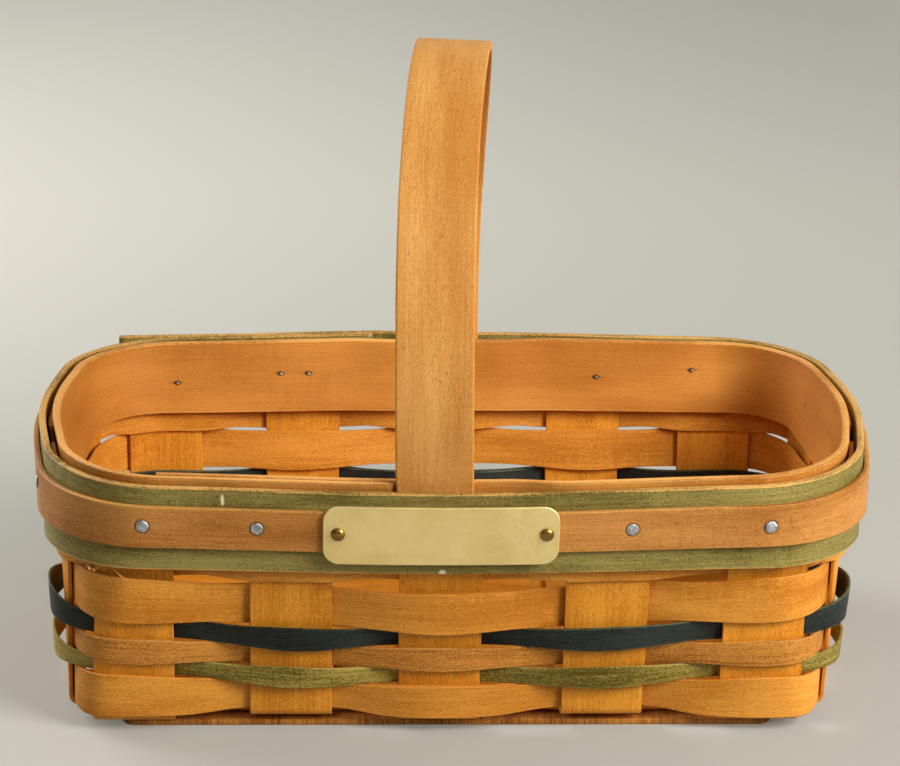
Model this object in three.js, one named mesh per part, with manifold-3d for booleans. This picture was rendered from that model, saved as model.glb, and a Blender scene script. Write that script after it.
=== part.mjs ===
// Small splint basket with a woven bottom, nailed rim bands and a fixed bent handle.
// Millimetres, +Z up, +Y away from the front. Origin at the middle of the base board's underside.
import * as THREE from 'three';
import { mergeVertices } from 'three/addons/utils/BufferGeometryUtils.js';
import Module from 'manifold-3d';

// Body of the basket, measured on the middle of the stakes' thickness
const BASE_LENGTH = 210.6;
const BASE_WIDTH = 109;
const RIM_HEIGHT = 76.3;
const SIDE_FLARE = 0.108;
const END_FLARE = 0.057;
const SIDE_BOW = 6;
const END_BOW = 5.5;
const WALL_FOOT = 7.2;
const LEFT_SKEW = 0.05;
const WALL_LEAN = 1.1;
const CORNER_AT_BASE = 9;
const CORNER_AT_RIM = 30;
const END_MARGIN = 7.6;
const SIDE_MARGIN = 6.8;
const CLEARANCE = 0.3;
const FACET_ALLOWANCE = 0.16;

// Stakes: the wide splints of the bottom that turn up into the walls
const CROSS_STAKES = 5;
const LONG_STAKES = 3;
const STAKE_WIDTH = 22.6;
const STAKE_THICKNESS = 1.1;
const STAKE_BEND = 2.8;
const STAKE_TOP_DROP = 1.6;
const BASE_CRIMP = 0.85;
const STAKE_SHIFTS = [-0.6, -0.2, -2.5, -0.5, -0.1];
const STAKE_SHIFTS_BACK = [-0.6, -1.5, -2.5, -0.5, -2.5];

// Weavers: the splints that go round the wall
const WEAVER_THICKNESS = 0.8;
const WEAVER_START = 6;
const WEAVER_SPREAD = 0.75;
const ROW_GAP = 0.2;
const WEAVER_LAP = 2.1;
const END_BULGE = 1.6;
const TUCK_FROM = 0.1;
const TUCK_FULL = 0.45;

// Rim bands and the trim strip
const BAND_HEIGHT = 24.1;
const BAND_THICKNESS = 2;
const BAND_FOOT_FACE = 3;
const SIDE_SLACK = 0.65;
const BAND_TAIL = 101.5;
const TAIL_FROM = 66;
const TAIL_DROP = 1.8;
const BAND_LAP_END = 24;
const LAP_RAMP = 14;
const RIM_RISE = 0.56;
const INNER_BAND_HEIGHT = 21.7;
const INNER_BAND_THICKNESS = 2.3;
const INNER_BAND_PROUD = 0.85;
const INNER_LAP_LEFT = 62;
const INNER_LAP_RIGHT = 16;
const TRIM_WIDTH = 12;
const TRIM_THICKNESS = 1.6;
const TRIM_LIFT = 1;
const TRIM_REACH = 60;

// Handle
const HANDLE_WIDTH = 20.7;
const HANDLE_THICKNESS = 2.4;
const HANDLE_TOP = 182.2;
const HANDLE_SPRING = 104.7;
const HANDLE_SHIFT = -4.6;
const HANDLE_SKEW = 0.027;
const HANDLE_LEAN = 3.4;
const HANDLE_TWIST = 2.9;
const HANDLE_ROLL = 0.045;

// Base board
const BOARD_LENGTH = 182;
const BOARD_WIDTH = 105;
const BOARD_THICKNESS = 1.8;
const BOARD_CORNER = 4;

// Plate and its pins
const PLATE_LENGTH = 63;
const PLATE_SHIFT = -2.9;
const PLATE_HEIGHT = 17.2;
const PLATE_THICKNESS = 0.8;
const PLATE_CORNER = 4.5;
const PIN_SPACING = 55.1;
const PIN_HEAD = 4.4;
const PIN_SHANK = 1.3;
const PIN_DOME = 1.3;
const PIN_SIDES = 10;

// Nails
const NAIL_HEAD = 3.7;
const NAIL_SHANK = 1.5;
const NAIL_HEAD_THICKNESS = 0.7;
const NAIL_POINT = 1.2;
const NAIL_SIDES = 8;
const HOLE_SIDES = 6;
const HOLE_LENGTH = 40;

// Facets
const CORNER_STEPS = 8;
const SIDE_STEPS = 5;
const END_STEPS = 3;
const WEAVE_STEPS = 5;
const FLAT_STEP = 9;
const BEND_STEPS = 3;
const WALL_STEPS = 5;
const LEG_STEPS = 4;
const ARCH_STEPS = 24;
const TAIL_STEPS = 3;
const DOME_STEPS = 4;

// Derived sizes
const BAND_BOTTOM = RIM_HEIGHT - BAND_HEIGHT;
const CROSS_REACH = (CROSS_STAKES - 1) / 2;
const LONG_REACH = (LONG_STAKES - 1) / 2;
const CROSS_PITCH = (BASE_LENGTH / 2 - END_MARGIN - STAKE_WIDTH / 2) / CROSS_REACH;
const LONG_PITCH = (BASE_WIDTH / 2 - SIDE_MARGIN - STAKE_WIDTH / 2) / LONG_REACH;
const HALF_TURN = CROSS_STAKES + LONG_STAKES;
const FULL_TURN = 2 * HALF_TURN;
const BASE_LEVEL = BOARD_THICKNESS + CLEARANCE + BASE_CRIMP + STAKE_THICKNESS / 2;
const SEAT = STAKE_THICKNESS / 2 + CLEARANCE + FACET_ALLOWANCE + WEAVER_THICKNESS / 2;
const LAP_SHIFT = (WEAVER_THICKNESS + CLEARANCE) / 2;
const RIM_FACE = STAKE_THICKNESS / 2 + CLEARANCE + FACET_ALLOWANCE;
const HANDLE_FACE = STAKE_THICKNESS / 2 + CLEARANCE;
const LAYER = BAND_THICKNESS + CLEARANCE;
const INNER_LAYER = INNER_BAND_THICKNESS + CLEARANCE;
const TRIM_LAYER = TRIM_THICKNESS + CLEARANCE;
const TRIM_MIDDLE = RIM_HEIGHT - BAND_HEIGHT / 2 + TRIM_LIFT;
const ROW_ZONE = BAND_BOTTOM - WEAVER_START;

const COLOURS = {
  maple: { color: 0xc98a45, roughness: 0.5, metalness: 0 },
  green: { color: 0x77683a, roughness: 0.5, metalness: 0 },
  navy: { color: 0x2a2f38, roughness: 0.5, metalness: 0 },
  tan: { color: 0xa8743f, roughness: 0.5, metalness: 0 },
  brass: { color: 0xcdb577, roughness: 0.35, metalness: 1 },
  steel: { color: 0x8d8a84, roughness: 0.4, metalness: 1 },
};

// Each row: its edges as shares of the wall below the band, in the middle of the front, in the middle of
// the back and at the corners; the side of the even stakes it passes (+1 outside); how far it stands off
// the stakes, and how much more it bulges outside the end stakes; and the stake where it ends.
const ROWS = [
  {
    name: 'weaver_1_natural', colour: 'maple', side: 1, bow: 2.4, bulge: 0, end: -1.05,
    front: [-0.022, 0.186], back: [-0.022, 0.195], corner: [-0.037, 0.234],
  },
  {
    name: 'weaver_2_green', colour: 'green', side: -1, bow: 2.8, bulge: END_BULGE, end: HALF_TURN + 0.95,
    front: [0.186, 0.309], back: [0.195, 0.314], corner: [0.234, 0.341],
  },
  {
    name: 'weaver_3_tan', colour: 'tan', side: 1, bow: 2.4, bulge: 0, end: HALF_TURN - 3.05,
    front: [0.309, 0.451], back: [0.314, 0.477], corner: [0.341, 0.484],
  },
  {
    name: 'weaver_4_navy', colour: 'navy', side: -1, bow: 3, bulge: END_BULGE, end: HALF_TURN - 1.05,
    front: [0.451, 0.581], back: [0.477, 0.62], corner: [0.484, 0.639],
  },
  {
    name: 'weaver_5_natural', colour: 'maple', side: 1, bow: 2.4, bulge: 0, end: -1.05,
    front: [0.581, 0.836], back: [0.651, 0.891], corner: [0.639, 0.916],
  },
  {
    name: 'weaver_6_natural', colour: 'maple', side: -1, bow: SEAT, bulge: 0, end: HALF_TURN,
    front: [0.918, 1.102], back: [0.912, 1.06], corner: [0.925, 1.11],
  },
];

// Nails through the rim: wall (0 front, 1 right, 2 back, 3 left), stake counted from the middle, how far
// the nail stands from the middle of that stake as a share of its width, and its height over the trim's
// middle.
const RIM_NAILS = [
  [0, -2, 0.165, 0.7], [0, -1, -0.374, 1.1], [0, 1, 0.219, 0.9], [0, 2, -0.08, 0.2],
  [1, -1, 0.05, 0.2], [1, 1, -0.06, 0.5],
  [2, -2, 0.343, 2.5], [2, -1, -0.175, -0.4], [2, 1, -0.064, 0.7], [2, 1, 0.308, 0.9], [2, 2, -0.197, -1.2],
  [3, -1, 0.04, 1.1], [3, 1, -0.05, 1.2],
];

const wasm = await Module();
wasm.setup();
const basket = new THREE.Group();

function addPiece(name, geometry, colour) {
  const mesh = new THREE.Mesh(geometry, new THREE.MeshStandardMaterial(COLOURS[colour]));
  mesh.name = name;
  basket.add(mesh);
  return mesh;
}

function smooth(low, high, value) {
  return THREE.MathUtils.smoothstep(value, low, high);
}

// Rounded rectangle of the wall at a height: half length, half width, corner radius, arc length of a
// quarter and up to the middle of the corner, and how far the wall has opened out (1 at the rim)
function section(z) {
  const a = BASE_LENGTH / 2 + END_FLARE * z;
  const b = BASE_WIDTH / 2 + SIDE_FLARE * z;
  const r = THREE.MathUtils.mapLinear(z, 0, RIM_HEIGHT, CORNER_AT_BASE, CORNER_AT_RIM);
  const quarter = a + b - 2 * r + (Math.PI / 2) * r;
  const corner = a - r + (Math.PI / 4) * r;
  const opening = Math.max(0, (z - WALL_FOOT) / (RIM_HEIGHT - WALL_FOOT));
  return { a, b, r, quarter, corner, opening };
}

// How far the wall bows out: most in the middle of a side or end, nothing in the middle of a corner
function wallBow(v, { quarter, corner, opening }) {
  if (v < corner) {
    return SIDE_BOW * opening * Math.cos(((Math.PI / 2) * v) / corner) ** 2;
  }
  return END_BOW * opening * Math.cos(((Math.PI / 2) * (quarter - v)) / (quarter - corner)) ** 2;
}

// Point on the wall: arc length u counter-clockwise from the middle of the front, height z, n outward
function wallPoint(u, z, n) {
  const { a, b, r, quarter, corner, opening } = section(z);
  const half = Math.round(u / (2 * quarter));
  const along = u - half * 2 * quarter;
  const v = Math.abs(along);
  const turn = THREE.MathUtils.clamp((v - (a - r)) / r, 0, Math.PI / 2);
  const straightX = Math.min(v, a - r);
  const straightY = Math.max(0, v - (a - r) - (Math.PI / 2) * r);
  const radius = r + n + wallBow(v, { quarter, corner, opening });
  const spin = half % 2 === 0 ? 1 : -1;
  const x = spin * (Math.sign(along) || 1) * (straightX + radius * Math.sin(turn));
  const y = -spin * (b - r - straightY + radius * Math.cos(turn));
  const skew = LEFT_SKEW * opening * Math.max(0, -x / a) ** 2;
  const lean = (WALL_LEAN * z) / RIM_HEIGHT;
  return new THREE.Vector3(x - skew * y + lean, y, z);
}

// Direction square to a surface that stands off the wall by a distance given for each place
function wallNormal(u, z, standOff = () => 0) {
  const step = 0.5;
  const at = (du, dz) => wallPoint(u + du, z + dz, standOff(z + dz));
  const around = at(step, 0).sub(at(-step, 0));
  const up = at(0, step).sub(at(0, -step));
  return around.cross(up).normalize();
}

// Place of a cross stake along the basket at the front or the back, counted from the middle stake
function crossPlace(number, atBack) {
  const shifts = atBack ? STAKE_SHIFTS_BACK : STAKE_SHIFTS;
  return number * CROSS_PITCH + (shifts[number + CROSS_REACH] ?? 0);
}

// Arc length of stake number m, counted round the basket from the middle of the front
function stakeArc(m, z) {
  const { quarter } = section(z);
  const half = Math.floor((m + CROSS_REACH) / HALF_TURN);
  const local = m - half * HALF_TURN;
  const turned = 2 * half * quarter;
  if (local <= CROSS_REACH) {
    return turned + (half % 2 === 0 ? crossPlace(local, false) : -crossPlace(-local, true));
  }
  return turned + quarter + (local - HALF_TURN / 2) * LONG_PITCH;
}

// Closed solid through a row of rings; each ring runs out along one face and back along the other
function loft(rings) {
  const count = rings[0].length;
  const points = rings.flat();
  const triangles = [];
  const quad = (i, j, k, l) => triangles.push(i, j, k, i, k, l);
  for (let i = 0; i + 1 < rings.length; i += 1) {
    for (let j = 0; j < count; j += 1) {
      const next = (j + 1) % count;
      quad(i * count + j, i * count + next, (i + 1) * count + next, (i + 1) * count + j);
    }
  }
  const last = (rings.length - 1) * count;
  for (let j = 0; j + 1 < count / 2; j += 1) {
    quad(j, count - 1 - j, count - 2 - j, j + 1);
    quad(last + j, last + j + 1, last + count - 2 - j, last + count - 1 - j);
  }
  let volume = 0;
  for (let i = 0; i < triangles.length; i += 3) {
    const [p, q, r] = [0, 1, 2].map((k) => points[triangles[i + k]]);
    volume += p.dot(q.clone().cross(r));
  }
  if (volume < 0) {
    triangles.reverse();
  }
  const geometry = new THREE.BufferGeometry().setFromPoints(points);
  geometry.setIndex(triangles);
  geometry.computeVertexNormals();
  return geometry;
}

// Splint: stops along its length, a number of steps across, and the point for a stop, share and face
function splint(stops, across, pointAt) {
  const rings = stops.map((stop) => {
    const shares = Array.from({ length: across + 1 }, (_, j) => j / across);
    const outer = shares.map((share) => pointAt(stop, share, 1));
    const inner = shares.map((share) => pointAt(stop, share, -1));
    return [...outer, ...inner.reverse()];
  });
  return loft(rings);
}

function toSolid(geometry) {
  const bare = geometry.clone();
  bare.deleteAttribute('normal');
  bare.deleteAttribute('uv');
  const merged = mergeVertices(bare, 1e-4);
  const vertProperties = new Float32Array(merged.attributes.position.array);
  const triVerts = new Uint32Array(merged.index.array);
  return new wasm.Manifold(new wasm.Mesh({ numProp: 3, vertProperties, triVerts }));
}

function toGeometry(solid) {
  const mesh = solid.getMesh();
  const geometry = new THREE.BufferGeometry();
  geometry.setAttribute('position', new THREE.BufferAttribute(new Float32Array(mesh.vertProperties), 3));
  geometry.setIndex(new THREE.BufferAttribute(new Uint32Array(mesh.triVerts), 1));
  geometry.computeVertexNormals();
  return geometry;
}

// Piece with the nail and pin holes cut through it
function drilled(geometry, holes) {
  if (holes.length === 0) {
    return geometry;
  }
  return toGeometry(holes.reduce((solid, hole) => solid.subtract(toSolid(hole)), toSolid(geometry)));
}

// Arc length at a place on a rim hoop: 0 front middle, 1 right middle, 2 back middle, 3 left middle.
// The first and last quarter of each step are the walls and the half between is the corner.
const WALL_SHARE = 0.25;

function hoopArc(place, z) {
  const { a, b, r, quarter } = section(z);
  const wall = Math.floor(place);
  const share = place - wall;
  const longFirst = wall % 2 === 0;
  const first = (longFirst ? a : b) - r;
  const last = (longFirst ? b : a) - r;
  const cornerShare = THREE.MathUtils.clamp((share - WALL_SHARE) / (1 - 2 * WALL_SHARE), 0, 1);
  const before = first * Math.min(1, share / WALL_SHARE);
  const after = last * Math.max(0, (share - 1) / WALL_SHARE + 1);
  return wall * quarter + before + (Math.PI / 2) * r * cornerShare + after;
}

// Place on a hoop for a distance along a wall, measured at the middle of the bands' height
function hoopPlace(wall, distance) {
  const { a, b, r } = section(TRIM_MIDDLE);
  return wall + (WALL_SHARE * distance) / ((wall % 2 === 0 ? a : b) - r);
}

function hoopStops(start, end, extra) {
  const stops = [start, end, ...extra];
  for (let wall = Math.floor(start); wall < end; wall += 1) {
    const before = wall % 2 === 0 ? SIDE_STEPS : END_STEPS;
    const after = wall % 2 === 0 ? END_STEPS : SIDE_STEPS;
    for (let i = 0; i < before; i += 1) {
      stops.push(wall + (WALL_SHARE * i) / before);
    }
    for (let i = 0; i <= CORNER_STEPS; i += 1) {
      stops.push(wall + WALL_SHARE + ((1 - 2 * WALL_SHARE) * i) / CORNER_STEPS);
    }
    for (let i = 1; i < after; i += 1) {
      stops.push(wall + 1 - WALL_SHARE + (WALL_SHARE * i) / after);
    }
  }
  const inside = stops.filter((stop) => stop >= start && stop <= end).sort((p, q) => p - q);
  return inside.filter((stop, i) => i === 0 || stop - inside[i - 1] > 1e-6);
}

function rimRise(place) {
  return RIM_RISE * Math.sin((Math.PI / 2) * place) ** 2;
}

// How far the bands' faces stand off the wall: the bands lean in toward the stakes' tops
function bandFace(place, z) {
  const rimFace = RIM_FACE + SIDE_SLACK * Math.cos((Math.PI / 2) * place) ** 2;
  const share = (z - rimRise(place) - BAND_BOTTOM) / BAND_HEIGHT;
  return THREE.MathUtils.lerp(BAND_FOOT_FACE, rimFace, share);
}

// Overlap of the outer band on the back: the length that comes round from the left lies inside
const TAIL_PLACE = hoopPlace(2, TAIL_FROM);
const OUTER_START = hoopPlace(-2, BAND_LAP_END);
const LAP_FROM = hoopPlace(2, BAND_LAP_END - LAP_RAMP - CLEARANCE);
const LAP_FULL = hoopPlace(2, BAND_LAP_END - 2 * CLEARANCE);
const LAP_STOPS = [LAP_FROM, LAP_FULL, (LAP_FROM + LAP_FULL) / 2];

function outerLap(place) {
  return LAYER * smooth(LAP_FROM, LAP_FULL, place);
}

// Overlap of the inner band on the front, left of the handle: its last length lies inside the first
const INNER_START = hoopPlace(0, -INNER_LAP_LEFT);
const INNER_END = hoopPlace(4, -INNER_LAP_RIGHT);
const INNER_LAP_FROM = 3.4;
const INNER_LAP_FULL = hoopPlace(4, -INNER_LAP_LEFT - 2);

// The handle is flat across and the wall behind it is bowed, so its edges set how far in it stands
const HANDLE_EDGE = HANDLE_WIDTH / 2 + Math.abs(HANDLE_SHIFT);
const HANDLE_SAG = SIDE_BOW - wallBow(HANDLE_EDGE, section(RIM_HEIGHT));
const INNER_FACE_AT_HANDLE = HANDLE_FACE + HANDLE_THICKNESS + CLEARANCE + HANDLE_SAG;
const HANDLE_SPAN = [0.7, 1.15, 1.6].map((share) => share * HANDLE_WIDTH);

function innerFace(place, z) {
  const { a, r } = section(TRIM_MIDDLE);
  const nearestWall = 2 * Math.round(place / 2);
  const distance = (Math.abs(place - nearestWall) / WALL_SHARE) * (a - r);
  const atHandle = 1 - smooth(HANDLE_SPAN[0], HANDLE_SPAN[2], distance);
  const lap = INNER_LAYER * smooth(INNER_LAP_FROM, INNER_LAP_FULL, place);
  return THREE.MathUtils.lerp(bandFace(place, z), INNER_FACE_AT_HANDLE, atHandle) + lap;
}

// Where the nails go: a point in the middle of the stake's thickness and the way the nail points
const nails = RIM_NAILS.map(([wall, stake, offset, lift], i) => {
  const height = TRIM_MIDDLE + lift;
  const { quarter } = section(height);
  const stakeNumber = (wall * HALF_TURN) / 2 + stake;
  const arc = stakeArc(stakeNumber, height) + offset * STAKE_WIDTH;
  const distance = arc - wall * quarter;
  const place = hoopPlace(wall, distance);
  const doubled = wall === 2 && distance > BAND_LAP_END;
  const underTrim = wall !== 2 || distance < TRIM_REACH;
  const layers = BAND_THICKNESS + (doubled ? LAYER : 0) + (underTrim ? TRIM_LAYER : 0);
  const inside = wall === 0 && distance < 0 ? place + 4 : place;
  return {
    name: `rim_nail_${['front', 'right', 'back', 'left'][wall]}_${i}`,
    point: wallPoint(arc, height, 0),
    way: wallNormal(arc, height, (z) => bandFace(place, z)),
    head: bandFace(place, height) + layers,
    tip: innerFace(inside, height) + INNER_BAND_THICKNESS,
  };
});

// The handle's nails are driven from inside and stop in the outer band
const handleNails = [-1, 1].map((end) => {
  const { b, quarter } = section(TRIM_MIDDLE);
  const x = HANDLE_SHIFT + HANDLE_SKEW * (end + 1) * (b + SIDE_BOW);
  const arc = end < 0 ? x : 2 * quarter - x;
  return {
    name: `handle_nail_${end < 0 ? 'front' : 'back'}`,
    point: wallPoint(arc, TRIM_MIDDLE, 0),
    way: wallNormal(arc, TRIM_MIDDLE).negate(),
    head: INNER_FACE_AT_HANDLE + INNER_BAND_THICKNESS,
    tip: bandFace(0, TRIM_MIDDLE) + BAND_THICKNESS / 2 - NAIL_POINT,
  };
});

const pins = [-1, 1].map((end) => {
  const x = PLATE_SHIFT + (end * PIN_SPACING) / 2;
  const place = hoopPlace(0, x);
  return {
    name: `plate_pin_${end < 0 ? 'left' : 'right'}`,
    point: wallPoint(x, TRIM_MIDDLE, 0),
    way: wallNormal(x, TRIM_MIDDLE, (z) => bandFace(place, z)),
    face: bandFace(place, TRIM_MIDDLE),
  };
});

// Frame of a nail or pin: its length along +Z
function aimed(geometry, point, way) {
  const turn = new THREE.Quaternion().setFromUnitVectors(new THREE.Vector3(0, 0, 1), way);
  return geometry.applyQuaternion(turn).translate(point.x, point.y, point.z);
}

function hole({ point, way }, shank) {
  const radius = shank / 2 + CLEARANCE;
  const rod = new THREE.CylinderGeometry(radius, radius, HOLE_LENGTH, HOLE_SIDES);
  return aimed(rod.rotateX(Math.PI / 2), point, way);
}

function near(list, geometry, shank) {
  geometry.computeBoundingBox();
  const box = geometry.boundingBox.clone().expandByScalar(STAKE_WIDTH);
  return list.filter(({ point }) => box.containsPoint(point)).map((item) => hole(item, shank));
}

const rimHoles = (geometry) => near(nails, geometry, NAIL_SHANK);
const allHoles = (geometry) => [
  ...rimHoles(geometry),
  ...near(handleNails, geometry, NAIL_SHANK),
];
const pinHoles = (geometry) => near(pins, geometry, PIN_SHANK);

// Base board
const boardShape = new THREE.Shape();
const boardX = BOARD_LENGTH / 2 - BOARD_CORNER;
const boardY = BOARD_WIDTH / 2 - BOARD_CORNER;
boardShape.absarc(boardX, boardY, BOARD_CORNER, 0, Math.PI / 2);
boardShape.absarc(-boardX, boardY, BOARD_CORNER, Math.PI / 2, Math.PI);
boardShape.absarc(-boardX, -boardY, BOARD_CORNER, Math.PI, 1.5 * Math.PI);
boardShape.absarc(boardX, -boardY, BOARD_CORNER, 1.5 * Math.PI, 2 * Math.PI);
boardShape.closePath();
const flat = { depth: BOARD_THICKNESS, bevelEnabled: false, curveSegments: 4 };
addPiece('base_board', new THREE.ExtrudeGeometry(boardShape, flat), 'maple');

// Stake: a flat run through the woven bottom, a tight bend and a wall at each end
function stakeStops(reach, level, flare) {
  const bendAngle = Math.PI / 2 - Math.atan(flare);
  const half = [];
  const flatSteps = Math.round(reach / FLAT_STEP);
  for (let i = 0; i < flatSteps; i += 1) {
    half.push({ flat: true, out: (reach * i) / flatSteps });
  }
  for (let i = 0; i <= BEND_STEPS; i += 1) {
    const angle = (bendAngle * i) / BEND_STEPS;
    half.push({
      out: reach + STAKE_BEND * Math.sin(angle),
      z: level + STAKE_BEND * (1 - Math.cos(angle)),
      tilt: angle,
    });
  }
  const foot = half[half.length - 1];
  const top = RIM_HEIGHT - STAKE_TOP_DROP;
  for (let i = 0; i <= WALL_STEPS; i += 1) {
    const z = THREE.MathUtils.lerp(WALL_FOOT, top, i / WALL_STEPS);
    half.push({ out: foot.out + flare * (z - foot.z), z, tilt: bendAngle });
  }
  const mirrored = half.slice(1).reverse().map((stop) => ({ ...stop, far: true }));
  return [...mirrored, ...half];
}

// Height of a stake in the woven bottom: over one crossing stake and under the next
function crimp(out, pitch, reachCount, side) {
  const limited = Math.min(Math.abs(out), reachCount * pitch);
  const wave = Math.cos((Math.PI * limited) / pitch);
  return BASE_LEVEL + side * BASE_CRIMP * wave * (1.5 - 0.5 * wave * wave);
}

function stake(number, isCross, across) {
  const placeAt = (far) => (isCross ? crossPlace(number, far) : number * LONG_PITCH);
  const crossPitch = isCross ? LONG_PITCH : CROSS_PITCH;
  const crossReach = isCross ? LONG_REACH : CROSS_REACH;
  const side = (number % 2 === 0 ? 1 : -1) * (isCross ? 1 : -1);
  const level = crimp(Infinity, crossPitch, crossReach, side);
  const wallAt = (z) => (isCross ? section(z).b : section(z).a);
  const flare = isCross ? SIDE_FLARE : END_FLARE;
  const foot = level + STAKE_BEND * (1 - flare / Math.hypot(1, flare));
  const bendOut = STAKE_BEND / Math.hypot(1, flare);
  const reach = wallAt(foot) - bendOut;
  const arcAt = (z, far) => (isCross ? 0 : section(z).quarter) + (far ? 2 * section(z).quarter : 0);
  return splint(stakeStops(reach, level, flare), across, (stop, share, face) => {
    const shift = (share - 0.5) * STAKE_WIDTH;
    const lift = (face * STAKE_THICKNESS) / 2;
    if (stop.flat) {
      const z = crimp(stop.out, crossPitch, crossReach, side) - lift;
      const out = stop.far ? stop.out : -stop.out;
      const place = THREE.MathUtils.mapLinear(out, -reach, reach, placeAt(false), placeAt(true)) + shift;
      return isCross ? new THREE.Vector3(place, out, z) : new THREE.Vector3(-out, place, z);
    }
    const z = stop.z - lift * Math.cos(stop.tilt);
    const n = stop.out + lift * Math.sin(stop.tilt) - wallAt(z);
    const sense = stop.far ? -1 : 1;
    return wallPoint(arcAt(z, stop.far) + sense * (placeAt(stop.far) + shift), z, n);
  });
}

for (let i = -CROSS_REACH; i <= CROSS_REACH; i += 1) {
  const across = Math.abs(i) === CROSS_REACH ? 3 : 1;
  const geometry = stake(i, true, across);
  addPiece(`cross_stake_${i + CROSS_REACH + 1}`, drilled(geometry, allHoles(geometry)), 'maple');
}
for (let i = -LONG_REACH; i <= LONG_REACH; i += 1) {
  const across = Math.abs(i) === LONG_REACH ? 3 : 1;
  const geometry = stake(i, false, across);
  addPiece(`long_stake_${i + LONG_REACH + 1}`, drilled(geometry, rimHoles(geometry)), 'maple');
}

// Weave: how far a weaver stands off the middle of the stakes, as a share of its bow, between stakes.
// A cosine from one stake to the next, filled out so that the splint clears both stakes' edges.
function weave(t, z, seatShare) {
  const m = Math.floor(t);
  const gap = stakeArc(m + 1, z) - stakeArc(m, z);
  const wave = Math.cos(Math.PI * (t - m));
  const edge = Math.cos((Math.PI * STAKE_WIDTH) / 2 / gap);
  const fill = Math.max(0, (seatShare / edge - 1) / (1 - edge * edge));
  return wave * (1 + fill * (1 - wave * wave)) * (m % 2 === 0 ? 1 : -1);
}

function weaveArc(t, z) {
  const m = Math.floor(t);
  return THREE.MathUtils.lerp(stakeArc(m, z), stakeArc(m + 1, z), t - m);
}

// Number of stakes to the middle of the nearest long wall
function fromMiddle(t) {
  return Math.abs(t - HALF_TURN * Math.round(t / HALF_TURN));
}

function weaverStops(start, end) {
  const stops = [start];
  for (let m = Math.floor(start); m < end; m += 1) {
    const local = m - HALF_TURN * Math.floor((m + CROSS_REACH) / HALF_TURN);
    const atCorner = local === CROSS_REACH || local === HALF_TURN - CROSS_REACH - 1;
    const steps = atCorner ? CORNER_STEPS : WEAVE_STEPS;
    for (let i = 0; i < steps; i += 1) {
      stops.push(m + i / steps);
    }
  }
  stops.push(end);
  return stops.filter((t) => t >= start && t <= end);
}

for (const row of ROWS) {
  const lap = row.bow > SEAT ? WEAVER_LAP : 0;
  const first = row.end;
  const last = row.end + FULL_TURN + (lap || -CLEARANCE / CROSS_PITCH);
  const height = (share) => WEAVER_START + share * ROW_ZONE;
  const pointAt = (t, share, face) => {
    const nearFront = Math.round(t / HALF_TURN) % 2 === 0;
    const [low, high] = nearFront ? row.front : row.back;
    const middle = THREE.MathUtils.lerp(low, high, share);
    const corner = THREE.MathUtils.lerp(row.corner[0], row.corner[1], share);
    const towardEnd = smooth(0.5, CROSS_REACH + 0.5, fromMiddle(t));
    const level = height(THREE.MathUtils.lerp(middle, corner, towardEnd));
    const early = lap ? 1 - smooth(first + lap + 0.1, first + lap + 0.6, t) : 0;
    const late = lap ? smooth(last - lap - 0.6, last - lap - 0.1, t) : 0;
    const extra = LAP_SHIFT * Math.max(early, late);
    const bow = row.bow + extra;
    const standing = row.side * weave(t, level, (SEAT + extra) / bow);
    const grow = WEAVER_SPREAD * Math.min(1, standing * standing) - ROW_GAP / 2;
    const foot = row === ROWS[0] && share === 0;
    const tucked = foot ? smooth(TUCK_FROM, TUCK_FULL, -standing) : 0;
    const edge = foot ? tucked * (WEAVER_START + CLEARANCE - level) : (2 * share - 1) * grow;
    const z = level + edge;
    const onEnd = smooth(CROSS_REACH, CROSS_REACH + 1, fromMiddle(t));
    const bulge = row.bulge * onEnd * Math.max(0, standing);
    const n = bow * standing + bulge + LAP_SHIFT * (late - early) + (face * WEAVER_THICKNESS) / 2;
    return wallPoint(weaveArc(t, z), z, n);
  };
  addPiece(row.name, splint(weaverStops(first, last), 1, pointAt), row.colour);
}

// Outer band: from its inner end on the back, round the left, front and right, to its free tail
const outerStops = hoopStops(OUTER_START, TAIL_PLACE, LAP_STOPS);
for (let i = 1; i <= TAIL_STEPS; i += 1) {
  outerStops.push(TAIL_PLACE + i);
}

// The tail springs off the bowed wall and runs on straight
function outerPoint(stop, z, thickness) {
  const place = Math.min(stop, TAIL_PLACE);
  const n = bandFace(place, z) + thickness + outerLap(place);
  const point = wallPoint(hoopArc(place, z), z, n);
  const share = (stop - place) / TAIL_STEPS;
  point.x = THREE.MathUtils.lerp(point.x, -BAND_TAIL, share);
  point.y -= TAIL_DROP * share;
  return point;
}

const outerBand = splint(outerStops, 1, (stop, share, face) => {
  const rise = rimRise(Math.min(stop, TAIL_PLACE));
  const z = THREE.MathUtils.lerp(BAND_BOTTOM, RIM_HEIGHT, share) + rise;
  return outerPoint(stop, z, face > 0 ? BAND_THICKNESS : 0);
});
const bandHoles = [...allHoles(outerBand), ...pinHoles(outerBand)];
addPiece('outer_band', drilled(outerBand, bandHoles), 'green');

// Inner band: shorter than the outer one, and a little proud of it at the front and ends
const handleStopsOnBand = [0, 2].flatMap((wall) => (
  HANDLE_SPAN.flatMap((distance) => [hoopPlace(wall, -distance), hoopPlace(wall, distance)])
));
const innerStops = hoopStops(INNER_START, INNER_END, [INNER_LAP_FULL, ...handleStopsOnBand]);
const innerBand = splint(innerStops, 1, (place, share, face) => {
  const fromFront = Math.abs(place - 4 * Math.round(place / 4));
  const proud = INNER_BAND_PROUD * (1 - smooth(1, 2, fromFront));
  const z = RIM_HEIGHT + proud - (1 - share) * INNER_BAND_HEIGHT + rimRise(place);
  const n = -innerFace(place, z) - (face > 0 ? 0 : INNER_BAND_THICKNESS);
  return wallPoint(hoopArc(place, z), z, n);
});
addPiece('inner_band', drilled(innerBand, allHoles(innerBand)), 'maple');

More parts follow.
